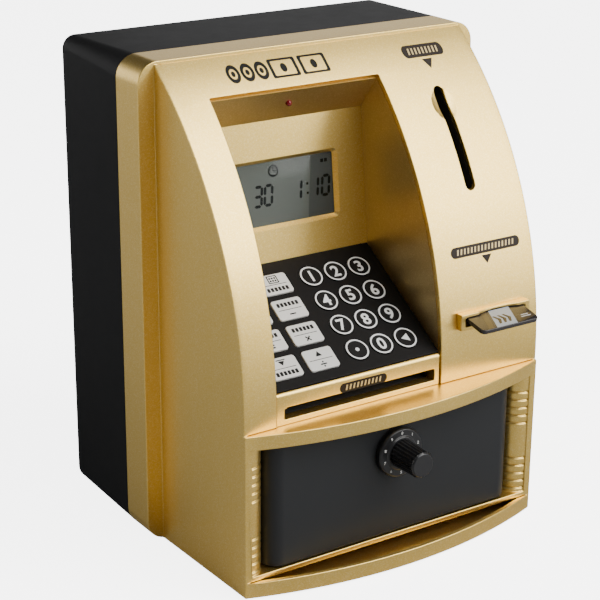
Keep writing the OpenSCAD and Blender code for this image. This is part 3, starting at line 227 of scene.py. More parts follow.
def feed(tree, sockets, values):
    # a number or colour is set on its socket, the output of another node is linked to it
    for key, value in values.items():
        if isinstance(value, (int, float, tuple)):
            sockets[key].default_value = value
        else:
            tree.links.new(value, sockets[key])


def mathNode(tree, operation, a, b, clamp=False):
    node = tree.nodes.new("ShaderNodeMath")
    node.operation, node.use_clamp = operation, clamp
    feed(tree, node.inputs, {0: a, 1: b})
    return node.outputs[0]


def weighted(tree, a, b, shares):
    # a share of each, added up
    first = mathNode(tree, "MULTIPLY", a, shares[0])
    return mathNode(tree, "ADD", first, mathNode(tree, "MULTIPLY", b, shares[1]))


def mixColour(tree, share, a, b):
    # the mix node keeps its two colours at sockets 6 and 7 and gives the colour out at 2
    node = tree.nodes.new("ShaderNodeMix")
    node.data_type = "RGBA"
    feed(tree, node.inputs, {0: share, 6: a, 7: b})
    return node.outputs[2]


def noise(tree, vector, scale, detail, rough):
    node = tree.nodes.new("ShaderNodeTexNoise")
    feed(tree, node.inputs, {"Vector": vector, "Scale": scale, "Detail": detail, "Roughness": rough})
    return node.outputs["Fac"]


# Scale, detail and roughness of each noise, but no scale for the grain, which comes with the finish
effect = {"grain": (3.0, 0.6), "cloud": (14.0, 3.0, 0.55), "marks": (90.0, 4.0, 0.7),
          "speck": (420.0, 5.0, 0.75), "polish": (300.0, 4.0, 0.7), "polishShare": 0.04,
          "colourShares": (0.7, 0.3), "roughShares": (0.6, 0.4), "flakePower": 3.0, "bandLine": 0.0006,
          "bumpDistance": 0.0002}


def mouldedGroup():
    # moulded surface: fine spark grain, slow cloudiness of the colour and faint handling marks
    tree, given, out = newGroup("mouldedSurface", [
        ("Light Colour", colourKind, (0.1, 0.1, 0.1, 1)), ("Dark Colour", colourKind, (0.05, 0.05, 0.05, 1)),
        ("Grain Scale", numberKind, 2500.0), ("Roughness", numberKind, 0.5),
        ("Roughness Spread", numberKind, 0.1)],
        [("Colour", colourKind), ("Roughness", numberKind), ("Height", numberKind)])
    grain = noise(tree, given["Position"], given["Grain Scale"], *effect["grain"])
    cloud = noise(tree, given["Position"], *effect["cloud"])
    marks = noise(tree, given["Position"], *effect["marks"])
    share = weighted(tree, cloud, grain, effect["colourShares"])
    drift = mathNode(tree, "SUBTRACT", weighted(tree, marks, cloud, effect["roughShares"]), 0.5)
    spread = mathNode(tree, "MULTIPLY", drift, given["Roughness Spread"])
    feed(tree, out, {"Colour": mixColour(tree, share, given["Dark Colour"], given["Light Colour"]),
                     "Roughness": mathNode(tree, "ADD", given["Roughness"], spread, True), "Height": grain})
    return tree


def flakeGroup():
    # metallic lacquer: tiny flakes of differing brightness over the base colour
    tree, given, out = newGroup("metallicFlake", [
        ("Colour", colourKind, (0.8, 0.6, 0.3, 1)), ("Flake Colour", colourKind, (1, 0.9, 0.6, 1)),
        ("Scale", numberKind, 2600.0), ("Amount", numberKind, 0.25)],
        [("Colour", colourKind), ("Mask", numberKind)])
    cells = tree.nodes.new("ShaderNodeTexVoronoi")
    cells.feature = "F1"
    feed(tree, cells.inputs, {"Vector": given["Position"], "Scale": given["Scale"]})
    split = tree.nodes.new("ShaderNodeSeparateColor")
    tree.links.new(cells.outputs["Color"], split.inputs[0])
    bright = mathNode(tree, "POWER", split.outputs[0], effect["flakePower"])
    share = mathNode(tree, "MULTIPLY", bright, given["Amount"], True)
    feed(tree, out, {"Colour": mixColour(tree, share, given["Colour"], given["Flake Colour"]),
                     "Mask": bright})
    return tree


def dustGroup():
    # a little dust settles on what faces up
    tree, given, out = newGroup("settledDust", [
        ("Colour", colourKind, (0.5, 0.5, 0.5, 1)), ("Dust Colour", colourKind, (0.55, 0.53, 0.5, 1)),
        ("Amount", numberKind, 0.04)], [("Colour", colourKind), ("Mask", numberKind)])
    facing = tree.nodes.new("ShaderNodeNewGeometry")
    split = tree.nodes.new("ShaderNodeSeparateXYZ")
    tree.links.new(facing.outputs["Normal"], split.inputs[0])
    speck = noise(tree, given["Position"], *effect["speck"])
    up = mathNode(tree, "MULTIPLY", mathNode(tree, "MAXIMUM", split.outputs[2], 0.0), speck)
    mask = mathNode(tree, "MULTIPLY", up, given["Amount"], True)
    feed(tree, out, {"Colour": mixColour(tree, mask, given["Colour"], given["Dust Colour"]),
                     "Mask": mask})
    return tree


def bandGroup():
    # printed sleeve: a band of another colour round one end, with a thin pale line at its edge
    tree, given, out = newGroup("sleeveBand", [
        ("Colour", colourKind, (0.1, 0.1, 0.1, 1)), ("Band Colour", colourKind, (0.6, 0.3, 0.1, 1)),
        ("Line Colour", colourKind, (0.8, 0.8, 0.8, 1)), ("Start", numberKind, 0.01)],
        [("Colour", colourKind), ("Mask", numberKind)])
    split = tree.nodes.new("ShaderNodeSeparateXYZ")
    tree.links.new(given["Position"], split.inputs[0])
    reach = mathNode(tree, "SUBTRACT", split.outputs[0], given["Start"])
    band = mathNode(tree, "GREATER_THAN", reach, 0.0)
    line = mathNode(tree, "LESS_THAN", mathNode(tree, "ABSOLUTE", reach, 0.0), effect["bandLine"])
    colour = mixColour(tree, band, given["Colour"], given["Band Colour"])
    feed(tree, out, {"Colour": mixColour(tree, line, colour, given["Line Colour"]),
                     "Mask": band})
    return tree


moulded, flake, dust, sleeve = mouldedGroup(), flakeGroup(), dustGroup(), bandGroup()

# Finishes: what some of them share, then each by its own colours
goldBase = {"metallic": 1.0, "spread": 0.05, "grain": 2200.0, "bump": 0.045, "flake": (1.0, 0.82, 0.42),
            "dust": 0.01}
inkBase = {"roughness": 0.5, "spread": 0.08, "grain": 5000.0, "bump": 0.03}
screenBase = {"roughness": 0.42, "spread": 0.06, "grain": 6000.0, "bump": 0.01}
cardBase = {"roughness": 0.3, "spread": 0.1, "grain": 3500.0, "bump": 0.02}
finishes = {
    "goldLacquer": {**goldBase, "light": (0.83, 0.575, 0.155), "dark": (0.775, 0.525, 0.13),
                    "roughness": 0.36, "flakeAmount": 0.45},
    # painted shade: a darker, duller copy of the gold lacquer for the recess faces that lie in shade
    "goldPaintedShade": {**goldBase, "light": (0.6, 0.45, 0.205), "dark": (0.555, 0.41, 0.18), "roughness": 0.4,
                 "flakeAmount": 0.3},
    "blackShell": {"light": (0.01, 0.01, 0.0105), "dark": (0.007, 0.007, 0.0075), "roughness": 0.5,
                   "spread": 0.12, "grain": 1500.0, "bump": 0.12, "dust": 0.01, "specular": 0.05},
    "doorBlack": {"light": (0.0155, 0.0165, 0.018), "dark": (0.012, 0.013, 0.0145), "roughness": 0.42,
                  "spread": 0.1, "grain": 1700.0, "bump": 0.09, "dust": 0.01, "specular": 0.3},
    "knobBlack": {"light": (0.012, 0.012, 0.013), "dark": (0.008, 0.008, 0.009), "roughness": 0.3,
                  "spread": 0.12, "grain": 2400.0, "bump": 0.05, "dust": 0.01, "specular": 0.5},
    "plateBlack": {"light": (0.009, 0.008, 0.0075), "dark": (0.006, 0.0055, 0.005), "roughness": 0.4,
                   "spread": 0.08, "grain": 2600.0, "bump": 0.04, "dust": 0.01, "specular": 0.09},
    "keyBlack": {"light": (0.01, 0.009, 0.0085), "dark": (0.007, 0.0065, 0.006), "roughness": 0.33,
                 "spread": 0.08, "grain": 2800.0, "bump": 0.03, "dust": 0.01, "specular": 0.12},
    "keyIvory": {"light": (0.68, 0.67, 0.63), "dark": (0.62, 0.61, 0.575), "roughness": 0.45,
                 "spread": 0.1, "grain": 2600.0, "bump": 0.05, "dust": 0.02},
    "printWhite": {**inkBase, "light": (0.8, 0.8, 0.78), "dark": (0.74, 0.74, 0.72)},
    "printDark": {**inkBase, "light": (0.03, 0.022, 0.017), "dark": (0.022, 0.016, 0.012),
                  "specular": 0.15},
    "printBrown": {**inkBase, "light": (0.022, 0.014, 0.009), "dark": (0.017, 0.011, 0.007),
                   "specular": 0.15},
    "printBlack": {**inkBase, "light": (0.012, 0.011, 0.01), "dark": (0.008, 0.0075, 0.007),
                   "specular": 0.15},
    "printGold": {"light": (0.62, 0.47, 0.22), "dark": (0.56, 0.42, 0.19), "metallic": 0.6,
                  "roughness": 0.45, "spread": 0.06, "grain": 5000.0, "bump": 0.03},
    "displayInk": {"light": (0.003, 0.004, 0.004), "dark": (0.002, 0.003, 0.003), "roughness": 0.6,
                   "spread": 0.05, "grain": 6000.0, "bump": 0.01, "specular": 0.1},
    "displayGround": {**screenBase, "light": (0.105, 0.118, 0.098), "dark": (0.092, 0.104, 0.088)},
    # painted shade: a darker copy of the display's ground, for the part where the dark recess wall is
    # reflected
    "displayPaintedShade": {**screenBase, "light": (0.055, 0.06, 0.055), "dark": (0.048, 0.053, 0.048)},
    "cardBlack": {"light": (0.026, 0.022, 0.022), "dark": (0.018, 0.015, 0.015), "roughness": 0.25,
                  "spread": 0.1, "grain": 3000.0, "bump": 0.02},
    "cardSilver": {**cardBase, "light": (0.36, 0.4, 0.44), "dark": (0.31, 0.345, 0.385)},
    "cardBronze": {**cardBase, "light": (0.075, 0.055, 0.028), "dark": (0.06, 0.042, 0.02)},
    "cardPale": {**cardBase, "light": (0.72, 0.72, 0.7), "dark": (0.66, 0.66, 0.64)},
    "innerGrey": {"light": (0.17, 0.175, 0.18), "dark": (0.14, 0.145, 0.15), "roughness": 0.55,
                  "spread": 0.12, "grain": 1600.0, "bump": 0.1, "dust": 0.08},
    "innerBlack": {"light": (0.03, 0.03, 0.03), "dark": (0.02, 0.02, 0.02), "roughness": 0.55,
                   "spread": 0.12, "grain": 1600.0, "bump": 0.08, "dust": 0.08},
    "rubberBlack": {"light": (0.02, 0.02, 0.02), "dark": (0.013, 0.013, 0.013), "roughness": 0.8,
                    "spread": 0.12, "grain": 1400.0, "bump": 0.2, "dust": 0.1},
    "steelPlain": {"light": (0.56, 0.565, 0.57), "dark": (0.46, 0.465, 0.47), "metallic": 1.0,
                   "roughness": 0.32, "spread": 0.2, "grain": 900.0, "bump": 0.04},
    "brassPlain": {"light": (0.72, 0.53, 0.22), "dark": (0.6, 0.43, 0.17), "metallic": 1.0,
                   "roughness": 0.3, "spread": 0.18, "grain": 900.0, "bump": 0.04},
    "boardGreen": {"light": (0.02, 0.13, 0.05), "dark": (0.014, 0.09, 0.035), "roughness": 0.3,
                   "spread": 0.15, "grain": 1200.0, "bump": 0.05, "dust": 0.06},
    "cellSleeve": {"light": (0.03, 0.16, 0.07), "dark": (0.022, 0.13, 0.055), "roughness": 0.28,
                   "spread": 0.1, "grain": 1800.0, "bump": 0.03, "band": (0.62, 0.42, 0.12),
                   "bandStart": 0.0135},
    "coneGrey": {"light": (0.05, 0.05, 0.05), "dark": (0.035, 0.035, 0.035), "roughness": 0.85,
                 "spread": 0.1, "grain": 700.0, "bump": 0.25},
}


def addLayer(tree, group, values):
    # a shared effect over the piece, with its outputs
    node = tree.nodes.new("ShaderNodeGroup")
    node.node_tree = group
    feed(tree, node.inputs, values)
    return node.outputs


def newMaterial(name):
    material = bpy.data.materials.new(name)
    material.use_nodes = True
    return material, material.node_tree, material.node_tree.nodes["Principled BSDF"].inputs


def makeFinish(name, given):
    material, tree, shader = newMaterial(name)
    place = tree.nodes.new("ShaderNodeTexCoord").outputs["Object"]
    surface = addLayer(tree, moulded, {
        "Position": place, "Light Colour": (*given["light"], 1), "Dark Colour": (*given["dark"], 1),
        "Grain Scale": given["grain"], "Roughness": given["roughness"],
        "Roughness Spread": given["spread"]})
    colour = surface["Colour"]
    if "flake" in given:
        colour = addLayer(tree, flake, {
            "Position": place, "Colour": colour, "Flake Colour": (*given["flake"], 1),
            "Amount": given["flakeAmount"]})["Colour"]
    if "band" in given:
        colour = addLayer(tree, sleeve, {
            "Position": place, "Colour": colour, "Band Colour": (*given["band"], 1),
            "Start": given["bandStart"]})["Colour"]
    if "dust" in given:
        colour = addLayer(tree, dust, {
            "Position": place, "Colour": colour, "Amount": given["dust"]})["Colour"]
    bump = tree.nodes.new("ShaderNodeBump")
    feed(tree, bump.inputs, {"Strength": given["bump"], "Distance": effect["bumpDistance"],
                             "Height": surface["Height"]})
    feed(tree, shader, {
        "Normal": bump.outputs["Normal"], "Base Color": colour, "Roughness": surface["Roughness"],
        "Metallic": given.get("metallic", 0.0), "Specular IOR Level": given.get("specular", 0.5)})
    return material


finish = {name: makeFinish(name, given) for name, given in finishes.items()}


clears = {
    "clearPane": {"colour": (0.97, 0.99, 0.98, 1), "roughness": 0.03, "transmission": 1.0, "ior": 1.3},
    "lampRed": {"colour": (0.36, 0.008, 0.02, 1), "roughness": 0.08, "transmission": 0.55, "ior": 1.49},
}


def makeClear(name, given):
    # clear or tinted moulding with fine polish marks
    material, tree, shader = newMaterial(name)
    marks = noise(tree, tree.nodes.new("ShaderNodeTexCoord").outputs["Object"], *effect["polish"])
    uneven = mathNode(tree, "MULTIPLY", marks, effect["polishShare"])
    feed(tree, shader, {
        "Roughness": mathNode(tree, "ADD", given["roughness"], uneven), "Base Color": given["colour"],
        "Transmission Weight": given["transmission"], "IOR": given["ior"]})
    return material


for name, given in clears.items():
    finish[name] = makeClear(name, given)
print("finishes made:", len(finish))

# Solids that carry over, and those that get softened edges
nodeFinish = {
    "rear_shell": "blackShell", "front_shell": "goldLacquer", "face_panel": "goldLacquer",
    "display_tub": "goldLacquer", "slot_bar": "goldLacquer", "keypad_plate": "plateBlack",
    "key_mat": "rubberBlack", "keypad_board": "boardGreen", "main_board": "boardGreen",
    "lcd_panel": "displayGround", "lcd_window": "clearPane", "led": "lampRed",
    "card_bezel": "goldLacquer", "card_guide": "innerBlack", "cash_card": "cardBlack",
    "card_switch": "innerBlack", "coin_chute": "innerBlack", "coin_lever": "steelPlain",
    "note_guide": "innerBlack", "drive_roller": "rubberBlack", "pinch_roller": "rubberBlack",
    "roller_gear": "keyIvory", "motor_gear": "brassPlain", "drive_motor": "steelPlain",
    "safe_box": "innerGrey", "door": "doorBlack", "hinge_pin": "steelPlain", "dial_plate": "knobBlack",
    "knob": "knobBlack", "latch_cam": "steelPlain", "lock_solenoid": "innerGrey",
    "lock_plunger": "steelPlain", "battery_box": "innerBlack", "battery_cells": "cellSleeve",
    "battery_contacts": "steelPlain", "battery_cover": "blackShell", "speaker": "coneGrey",
    "rubber_feet": "rubberBlack", "shell_screws": "steelPlain",
}
softened = {
    "front_shell": {"width": 0.4, "steps": 2, "angle": 32, "seam": 83.15, "seamReach": 0.35},
    "rear_shell": {"width": 0, "angle": 30},
    "face_panel": {"width": 0.5, "steps": 2, "angle": 32, "seam": 83.15, "seamReach": 0.35},
    # the display tub's faces that look sideways or down get the painted shade finish
    "display_tub": {"width": 0, "angle": 30, "joined": False, "paintedShadeFinish": "goldPaintedShade",
                    "sideways": 0.8, "downward": -0.4},
    "slot_bar": {"width": 0.4, "steps": 2, "angle": 35},
    "card_bezel": {"width": 0.4, "steps": 2, "angle": 32},
    "cash_card": {"width": 0.35, "steps": 3, "angle": 32},
    "keypad_plate": {"width": 0.25, "steps": 2, "angle": 40},
    "door": {"width": 0.5, "steps": 3, "angle": 32},
    "dial_plate": {"width": 0.3, "steps": 2, "angle": 30},
    "knob": {"width": 0.2, "steps": 2, "angle": 32},
    "battery_cover": {"width": 0.2, "steps": 2, "angle": 60},
    "safe_box": {"width": 0.4, "steps": 2, "angle": 40},
    "latch_cam": {"width": 0.25, "steps": 2, "angle": 40},
}
for node in frame["nodes"]:
    if node.startswith("function_key"):
        nodeFinish[node] = "keyIvory"
        softened[node] = {"width": 0.35, "steps": 3, "angle": 40}
    elif node.startswith("key_") and node not in nodeFinish:
        nodeFinish[node] = "keyBlack"
        softened[node] = {"width": 0.3, "steps": 3, "angle": 40}


def markSeam(form, given):
    # sharp edges are to be rounded, but those on the seam of the face panel stay sharp
    share = form.edges.layers.float.new("bevel_weight_edge")
    for edge in form.edges:
        if edge.calc_face_angle(0.0) > math.radians(given["angle"]):
            gaps = [abs(abs(vert.co.x) * 1000 - given["seam"]) for vert in edge.verts]
            onSeam = max(gaps) < given["seamReach"]
            edge.smooth = not onSeam
            edge[share] = 0.0 if onSeam else 1.0


def addDull(mesh, given):
    # painted shade: faces that look sideways or down take a darker, duller copy of the lacquer, standing in
    # for the shade inside the recess
    mesh.materials.append(finish[given["paintedShadeFinish"]])
    normals = np.zeros(len(mesh.polygons) * 3)
    mesh.polygons.foreach_get("normal", normals)
    across, _, upward = normals.reshape(-1, 3).T
    chosen = (np.abs(across) > given["sideways"]) | (upward < given["downward"])
    mesh.polygons.foreach_set("material_index", chosen.astype(int))


def standIn(piece, node):
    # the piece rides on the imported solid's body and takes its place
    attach(piece, bodyOf[node])
    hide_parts(node)


def softenEdges(node, given):
    # a copy of the solid, its doubles merged and flat faces joined, with rounded edges
    mesh = frame["nodes"][node].data.copy()
    mesh.name = node + "_soft"
    form = bmesh.new()
    form.from_mesh(mesh)
    bmesh.ops.remove_doubles(form, verts=form.verts, dist=joining["solid"])
    if given.get("joined", True):
        flat = math.radians(joining["flat"])
        bmesh.ops.dissolve_limit(form, angle_limit=flat, verts=form.verts, edges=form.edges)
    if "seam" in given:
        markSeam(form, given)
    form.to_mesh(mesh)
    form.free()
    if mesh.attributes.get("custom_normal"):
        mesh.attributes.remove(mesh.attributes["custom_normal"])
    mesh.polygons.foreach_set("use_smooth", [True] * len(mesh.polygons))
    mesh.materials.clear()
    mesh.materials.append(finish[nodeFinish[node]])
    # painted shade on the faces that look sideways or down
    if "paintedShadeFinish" in given:
        addDull(mesh, given)
    piece = addObject(node + "_soft", mesh)
    if given["width"]:
        edge = piece.modifiers.new("Rounded edges", "BEVEL")
        edge.width, edge.segments = given["width"] / 1000, given["steps"]
        edge.limit_method = "WEIGHT" if "seam" in given else "ANGLE"
        edge.angle_limit = math.radians(given["angle"])
        edge.use_clamp_overlap = False
        edge.miter_outer = "MITER_ARC"
    else:
        mesh.set_sharp_from_angle(angle=math.radians(given["angle"]))
    even = piece.modifiers.new("Even shading", "WEIGHTED_NORMAL")
    even.keep_sharp = True
    standIn(piece, node)


for node, solid in frame["nodes"].items():
    solid.data.materials.clear()
    solid.data.materials.append(finish[nodeFinish[node]])
    if node in softened:
        softenEdges(node, softened[node])
print("softened solids:", len(softened))

# Inner pieces of more than one material, by where a face's middle lies
inner = {"boardBack": 87.6, "boardFront": 86.0, "chipTop": 162.0, "cellHalf": 24.1, "feedY": 22.0,
         "driveZ": 91.9, "pinchZ": 80.7, "shaftR": 1.9, "magnetBack": 144.3, "keyBoardLow": -6.85,
         "margin": 0.05}


def keypadHeight(y, z):
    # height of a point over the keypad's plane
    slope = math.radians(planes["keypad"]["slope"])
    return (z - planes["keypad"]["z"]) * math.cos(slope) - (y - planes["keypad"]["y"]) * math.sin(slope)


def offShaft(y, z, shaftZ):
    return np.hypot(y - inner["feedY"], z - shaftZ) > inner["shaftR"]


def boardRegion(x, y, z):
    # stand-offs before the board, the board, and behind it the chip low down and the capacitors above
    behind = np.where(z < inner["chipTop"], 1, 2)
    board = np.where(y < inner["boardBack"] + inner["margin"], 0, behind)
    return np.where(y < inner["boardFront"] - inner["margin"], 3, board)


# Finishes of each piece, and which of them a face takes
regions = {
    "main_board": (["boardGreen", "innerBlack", "steelPlain", "keyIvory"], boardRegion),
    "battery_cells": (["cellSleeve", "steelPlain"],
                      lambda x, y, z: np.abs(x) > inner["cellHalf"] - inner["margin"]),
    "drive_roller": (["steelPlain", "rubberBlack"], lambda x, y, z: offShaft(y, z, inner["driveZ"])),
    "pinch_roller": (["steelPlain", "rubberBlack"], lambda x, y, z: offShaft(y, z, inner["pinchZ"])),
    "speaker": (["coneGrey", "steelPlain"], lambda x, y, z: y < inner["magnetBack"]),
    "keypad_board": (["boardGreen", "keyIvory"],
                     lambda x, y, z: keypadHeight(y, z) < inner["keyBoardLow"]),
}


def splitFinish(node, names, choose):
    # a copy of the solid whose faces take the finish of their region
    mesh = frame["nodes"][node].data.copy()
    mesh.name = node + "_parts"
    middles = np.zeros(len(mesh.polygons) * 3)
    mesh.polygons.foreach_get("center", middles)
    x, y, z = middles.reshape(-1, 3).T * 1000
    mesh.materials.clear()
    for name in names:
        mesh.materials.append(finish[name])
    chosen = choose(x, y + housing["middleY"], z - housing["footHeight"])
    mesh.polygons.foreach_set("material_index", chosen.astype(int))
    standIn(addObject(node + "_parts", mesh), node)


for node, (names, choose) in regions.items():
    splitFinish(node, names, choose)
print("split finishes:", len(regions))

# Lacquer that bridges the seam of the face panel
seamFill = {"half": 83.15, "width": 0.4, "low": 81.2, "high": 234.6, "top": -0.04, "deep": 0.5, "steps": 60}
z = np.linspace(seamFill["low"], seamFill["high"], seamFill["steps"])[:, None]
across = np.array([-0.5, 0.5, 0.5, -0.5]) * seamFill["width"]
depth = np.array([seamFill["top"], seamFill["top"], -seamFill["deep"], -seamFill["deep"]])
last = 4 * (seamFill["steps"] - 1)
for side, name in ((-1, "seam_left"), (1, "seam_right")):
    strip = onFace(side * seamFill["half"] + across + 0 * z, z + 0 * across, depth + 0 * z).reshape(-1, 3)
    strips = ringFaces(seamFill["steps"], 4) + [[0, 1, 2, 3], [last, last + 1, last + 2, last + 3]]
    buildPiece(name, [(strip, strips)], finish["goldLacquer"], "housing")

# Keypad prints; four numbers of an outline are its width, height, corner radius and count of points
keypadPrint = {"top": 0.5, "lift": 0.04, "ringOuter": 5.75, "ringWidth": 0.78, "ringEdge": 0.1,
               "ringFall": 0.4, "sink": 0.05, "numeralSize": 8.8, "weight": 0.2, "dot": 2.0, "arrowTip": -2.4,
               "arrowBack": 1.7, "arrowHalf": 2.3, "firstRow": -13.1, "rowPitch": 15.2, "roundX": -15.3,
               "roundPitch": 13.95, "squareX": -56.0, "squarePitch": 20.0, "rule": (12.6, 0.3),
               "ruleRise": -0.4, "signRise": (2.7, -3.2)}
signSize = {"reach": 1.7, "arm": 0.36, "dot": 0.45, "dotRise": 1.2, "equalsRise": 0.7,
            "grid": (5.6, 4.6, 0.4, 32), "gridStroke": 0.7, "gridDot": 0.55,
            "gridColumns": (-1.35, 0, 1.35), "gridRows": (-0.8, 0.7),
            "up": ((0, 1.6), (-1.7, -1.2), (1.7, -1.2)), "down": ((0, -1.7), (1.7, 0.8), (-1.7, 0.8)),
            "downBar": (5.0, 1.5, 0.25), "ring": (3.4, 3.4, 1.69, 32), "ringStroke": 0.45,
            "block": (1.5, 2.3, 0.35, 24), "blockPitch": 2.05, "blocks": 6}
keypadPlace = onPlane("keypad")


def onKeyTop(a, b, h):
    return keypadPlace(a, b, h + keypadPrint["top"])


def keyCentre(kind, i):
    columns = 3 if kind == "round" else 2
    return (keypadPrint[kind + "X"] + (i % columns) * keypadPrint[kind + "Pitch"],
            keypadPrint["firstRow"] - (i // columns) * keypadPrint["rowPitch"])


def roundKeyPrint(node, i, sign):
    x, y = keyCentre("round", i)
    lift, outer, low = keypadPrint["lift"], keypadPrint["ringOuter"], -keypadPrint["sink"]
    hollow, flat = outer - keypadPrint["ringWidth"], outer - keypadPrint["ringEdge"]
    rim = (outer, lift * keypadPrint["ringFall"])
    profile = [(hollow, low), (hollow, lift), (flat, lift), rim, (outer, low)]
    parts = [turned(profile, onKeyTop, (x, y), 64)]
    if sign == "dot":
        size = keypadPrint["dot"]
        parts.append(patch(roundedOutline(size, size, size * 0.495, 24, (x, y)), onKeyTop, lift))
    elif sign == "back":
        # a plain arrowhead stands for the clearing key
        back, half = x + keypadPrint["arrowBack"], keypadPrint["arrowHalf"]
        arrow = polygonOutline([(x + keypadPrint["arrowTip"], y), (back, y - half), (back, y + half)])
        parts.append(patch(arrow, onKeyTop, lift))
    else:
        size, weight = keypadPrint["numeralSize"], keypadPrint["weight"]
        parts.append(numeral(sign, size, onKeyTop, (x, y), lift, weight))
    buildPiece("print_" + node, parts, finish["printWhite"], bodyOf[node])


roundSigns = {"key_1": "1", "key_2": "2", "key_3": "3", "key_4": "4", "key_5": "5", "key_6": "6",
              "key_7": "7", "key_8": "8", "key_9": "9", "key_point": "dot", "key_0": "0",
              "key_clear": "back"}
for i, (node, sign) in enumerate(roundSigns.items()):
    roundKeyPrint(node, i, sign)


def signParts(kind, centre, place, lift):
    # small generic signs: bars, crosses, dots and frames
    x, y = centre
    reach, arm, rise = signSize["reach"], signSize["arm"], signSize["dotRise"]

    def bar(w, dy=0.0, t=arm):
        return patch(roundedOutline(w, 2 * t, t * 0.9, 24, (x, y + dy)), place, lift)

    def dot(r, dx=0.0, dy=0.0):
        return patch(roundedOutline(2 * r, 2 * r, r * 0.99, 16, (x + dx, y + dy)), place, lift)

    def arrow(name):
        return patch(polygonOutline([(x + a, y + b) for a, b in signSize[name]]), place, lift)

    if kind == "minus":
        return [bar(2 * reach)]
    if kind == "plus":
        return [patch(crossOutline(reach, arm, 0, centre), place, lift)]
    if kind == "times":
        return [patch(crossOutline(reach, arm, 45, centre), place, lift)]
    if kind == "divide":
        return [bar(2 * reach), dot(signSize["dot"], 0, rise), dot(signSize["dot"], 0, -rise)]
    if kind == "equals":
        return [bar(2 * reach, signSize["equalsRise"]), bar(2 * reach, -signSize["equalsRise"])]
    if kind == "grid":
        box = border(roundedOutline(*signSize["grid"], centre), place, signSize["gridStroke"], lift)
        spots = [(dx, dy) for dx in signSize["gridColumns"] for dy in signSize["gridRows"]]
        return [box] + [dot(signSize["gridDot"], *spot) for spot in spots]
    if kind == "up":
        return [arrow("up")]
    if kind == "down":
        return [bar(*signSize["downBar"]), arrow("down")]
    if kind == "ring":
        return [border(roundedOutline(*signSize["ring"], centre), place, signSize["ringStroke"], lift)]
    # a row of blocks stands for a word
    middle = (signSize["blocks"] - 1) / 2
    steps = [(k - middle) * signSize["blockPitch"] for k in range(signSize["blocks"])]
    return [patch(roundedOutline(*signSize["block"], (x + step, y)), place, lift) for step in steps]


squareSigns = [("ring", "word"), ("grid", "word"), ("word", "plus"), ("word", "minus"), ("word", "equals"),
               ("word", "times"), ("down", "word"), ("up", "divide")]
for i, signs in enumerate(squareSigns):
    node = "function_key_%d" % (i + 1)
    x, y = keyCentre("square", i)
    width, thick = keypadPrint["rule"]
    rule = roundedOutline(width, thick, thick * 0.45, 24, (x, y + keypadPrint["ruleRise"]))
    parts = [patch(rule, onKeyTop, keypadPrint["lift"])]
    for sign, rise in zip(signs, keypadPrint["signRise"]):
        parts += signParts(sign, (x, y + rise), onKeyTop, keypadPrint["lift"])
    buildPiece("print_" + node, parts, finish["printBlack"], bodyOf[node])
print("keypad printed")

# Display
display = {"up": 32.5, "ground": -2.78, "width": 59.0, "height": 30.2, "lift": 0.05, "sink": 0.01,
           "row": 31.6, "digitHeight": 9.3, "digitWidth": 4.0, "stroke": 1.45, "gap": 0.2, "slant": 0.1,
           "digits": (("3", -13.2), ("0", -7.4), ("1", 9.2), ("1", 18.9), ("0", 25.4)), "colonX": 14.9,
           "colonRise": 2.3, "colonDot": (1.2, 1.2, 0.3, 16), "paintedShade": (14.6, 17.8), "paintedShadeLift": 0.02,
           "signalX": (23.9, 26.1), "signalRise": 12.2, "signal": (1.7, 1.7, 0.2, 12)}
clock = {"x": -4.0, "rise": 11.2, "rim": (5.8, 5.8, 2.89, 40), "stroke": 0.95, "tall": (0.7, 2.0, 0.2, 12),
         "wide": (1.5, 0.7, 0.2, 12), "tallUp": 0.8, "wideAcross": 0.7}
cover = {"margin": 3.4, "corner": 0.8, "top": -2.05, "bottom": 2.45}
screenPlace = onPlane("screen")


def onDisplay(a, b, h):
    return screenPlace(a, b, h + display["ground"])


def ink(outline):
    return patch(outline, onDisplay, display["lift"], display["sink"])


def segmentOutline(a0, b0, a1, b1, stroke):
    # a bar with pointed ends between two points
    along = np.array([a1 - a0, b1 - b0], float)
    along /= np.linalg.norm(along)
    across = np.array([-along[1], along[0]]) * stroke / 2
    p, q = np.array([a0, b0]), np.array([a1, b1])
    tip = along * stroke / 2
    return polygonOutline([p, p + tip - across, q - tip - across, q, q - tip + across, p + tip + across], 2)


litSegments = {"0": "abcdef", "1": "bc", "3": "abgcd"}


def digitParts(sign, x, y):
    # seven bars round two stacked squares
    w, h, g, slant = display["digitWidth"] / 2, display["digitHeight"] / 2, display["gap"], display["slant"]
    corners = {"a": (-w, h, w, h), "b": (w, h, w, 0), "c": (w, 0, w, -h), "d": (-w, -h, w, -h),
               "e": (-w, 0, -w, -h), "f": (-w, h, -w, 0), "g": (-w, 0, w, 0)}
    parts = []
    for key in litSegments[sign]:
        a0, b0, a1, b1 = corners[key]
        length = math.hypot(a1 - a0, b1 - b0)
        ua, ub = (a1 - a0) / length * g, (b1 - b0) / length * g
        start = (x + a0 + ua + slant * (b0 + ub), y + b0 + ub)
        end = (x + a1 - ua + slant * (b1 - ub), y + b1 - ub)
        parts.append(ink(segmentOutline(*start, *end, display["stroke"])))
    return parts


